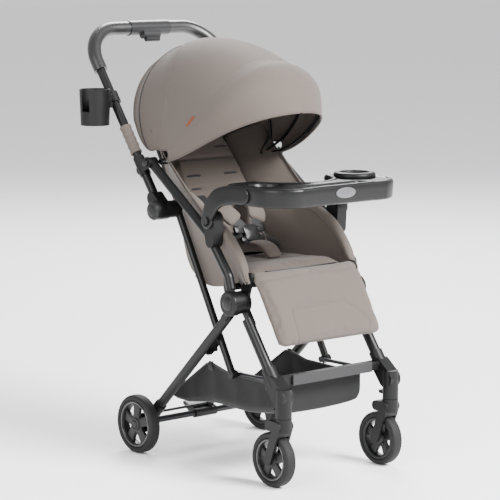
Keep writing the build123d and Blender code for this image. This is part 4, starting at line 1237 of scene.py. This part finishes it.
# ---- stage ----
def lamp(name, place, aim, size, power):
    light = bpy.data.lights.new(name, "AREA")
    light.shape, light.size, light.energy = "DISK", size, power
    piece = bpy.data.objects.new(name, light)
    piece.location = place
    piece.rotation_euler = (Vector(aim) - Vector(place)).to_track_quat("-Z", "Y").to_euler()
    bpy.context.scene.collection.objects.link(piece)
    return piece


def make_stage(looks):
    """A pale floor, three soft lamps, an even surround and the camera."""
    half = 30.0
    mesh = bpy.data.meshes.new("floor")
    corners = [(-half, -half, 0), (half, -half, 0), (half, half, 0), (-half, half, 0)]
    mesh.from_pydata(corners, [], [(0, 1, 2, 3)])
    floor = bpy.data.objects.new("floor", mesh)
    bpy.context.scene.collection.objects.link(floor)
    mesh.materials.append(finish_of("floor"))
    lamps = [lamp("key", (0.9, -3.8, 3.4), (0, 0, 0.5), 2.2, looks.key),
             lamp("fill", (-4.2, -1.2, 2.4), (0, 0, 0.5), 3.0, looks.key * 0.22),
             lamp("back", (2.6, 3.0, 3.6), (0, 0, 0.7), 2.4, looks.key * 0.35)]
    view = bpy.data.cameras.new("view")
    view.lens, view.sensor_width = 154.4, 36.0
    camera = bpy.data.objects.new("view", view)
    camera.location = (-3.34689, -3.88461, 1.25132)
    camera.rotation_euler = (math.radians(90 - 8.205), 0.0, math.radians(-40.393))
    bpy.context.scene.collection.objects.link(camera)
    bpy.context.scene.camera = camera
    world = bpy.data.worlds.new("studio")
    world.use_nodes = True
    back = world.node_tree.nodes["Background"]
    back.inputs[0].default_value, back.inputs[1].default_value = (1.0, 1.0, 1.0, 1.0), looks.air
    bpy.context.scene.world = world


# ---- the add-on ----
class StrollerColours(bpy.types.PropertyGroup):
    """Colours and cloth of the stroller."""
    cloth: bpy.props.FloatVectorProperty(name="Cloth", description="Cloth of the hood and the padding", subtype="COLOR",
                                         default=(0.085, 0.069, 0.060), min=0, max=1)
    plastic: bpy.props.FloatVectorProperty(name="Mouldings", description="Brackets, forks and knuckles", subtype="COLOR",
                                           default=(0.0025, 0.0025, 0.0027), min=0, max=1)
    frame: bpy.props.FloatVectorProperty(name="Frame", description="Paint of the tubes", subtype="COLOR",
                                         default=(0.0035, 0.0035, 0.0038), min=0, max=1)
    tray: bpy.props.FloatVectorProperty(name="Tray", description="Moulding of the tray", subtype="COLOR",
                                        default=(0.0040, 0.0040, 0.0043), min=0, max=1)
    floor: bpy.props.FloatVectorProperty(name="Floor", description="Floor of the stage", subtype="COLOR",
                                         default=(0.97, 0.97, 0.97), min=0, max=1)
    thread: bpy.props.FloatProperty(name="Thread", description="Distance between the threads of the cloth",
                                    default=0.0011, min=0.0004, max=0.004, unit="LENGTH", precision=4)


class StrollerSizes(bpy.types.PropertyGroup):
    """Sizes of the soft pieces, and the light."""
    hood_cloth: bpy.props.FloatProperty(name="Hood cloth", description="Thickness of the hood's cloth", default=0.0011,
                                        min=0.0004, max=0.003, unit="LENGTH", precision=4)
    piping: bpy.props.FloatProperty(name="Piping", description="Radius of the hood's dark piping", default=0.0021,
                                    min=0.001, max=0.004, unit="LENGTH", precision=4)
    swell: bpy.props.FloatProperty(name="Swell", description="How far the pads may swell", default=0.009,
                                   min=0.002, max=0.016, unit="LENGTH", precision=4)
    basket_keep: bpy.props.FloatProperty(name="Folded basket", description="Share of its length the basket keeps folded",
                                         default=0.3, min=0.05, max=1.0)
    key: bpy.props.FloatProperty(name="Key light", description="Power of the key light", default=900.0, min=0, unit="POWER")
    air: bpy.props.FloatProperty(name="Surrounding light", description="Strength of the world's light", default=0.95, min=0)


def piece_operator(idname, label, make, doc):
    """An operator that runs one of the making functions with the scene's sizes."""
    def execute(self, context):
        make(context.scene.stroller_sizes)
        return {"FINISHED"}
    return type("STROLLER_OT_" + idname, (bpy.types.Operator,),
                {"bl_idname": "stroller." + idname, "bl_label": label, "__doc__": doc, "execute": execute})


OPERATORS = [piece_operator(*row) for row in (
    ("finish_frame", "Finish the frame", finish_frame, "Gives every part of the frame its finish"),
    ("add_hood", "Hood", make_hood, "Adds the hood, its seams and its bows"),
    ("add_pads", "Padding", make_pads, "Adds the backrest, seat and leg rest pads"),
    ("add_sides", "Sides", make_sides, "Adds the cloth and rolls between the arms and the seat"),
    ("add_harness", "Harness", make_harness, "Adds the straps, their pads and the buckle"),
    ("add_basket", "Basket", make_basket, "Adds the basket"),
    ("add_tray", "Tray", make_tray, "Adds the tray"),
    ("add_wheels", "Wheels", make_wheels, "Adds the tyres and rims"),
    ("add_details", "Details", make_details, "Adds rivets, rings and sleeves"),
    ("add_stage", "Stage", make_stage, "Adds the floor, the lights and the camera"))]


class STROLLER_PT_panel(bpy.types.Panel):
    """Sidebar panel of the stroller builder."""
    bl_label = "Stroller"
    bl_idname = "STROLLER_PT_panel"
    bl_space_type = "VIEW_3D"
    bl_region_type = "UI"
    bl_category = "Stroller"

    def draw(self, context):
        for group in (context.scene.stroller_colours, context.scene.stroller_sizes):
            box = self.layout.box()
            for name in group.bl_rna.properties.keys():
                if name not in ("rna_type", "name"):
                    box.prop(group, name)
        column = self.layout.column()
        for operator in OPERATORS:
            column.operator(operator.bl_idname)


CLASSES = [StrollerColours, StrollerSizes, *OPERATORS, STROLLER_PT_panel]


def register():
    for one in CLASSES:
        bpy.utils.register_class(one)
    bpy.types.Scene.stroller_colours = bpy.props.PointerProperty(type=StrollerColours)
    bpy.types.Scene.stroller_sizes = bpy.props.PointerProperty(type=StrollerSizes)


def unregister():
    del bpy.types.Scene.stroller_sizes
    del bpy.types.Scene.stroller_colours
    for one in reversed(CLASSES):
        bpy.utils.unregister_class(one)


def main():
    register()
    for operator in OPERATORS:
        getattr(bpy.ops.stroller, operator.bl_idname.split(".")[1])()
    bpy.context.view_layer.update()


if __name__ == "__main__":
    main()
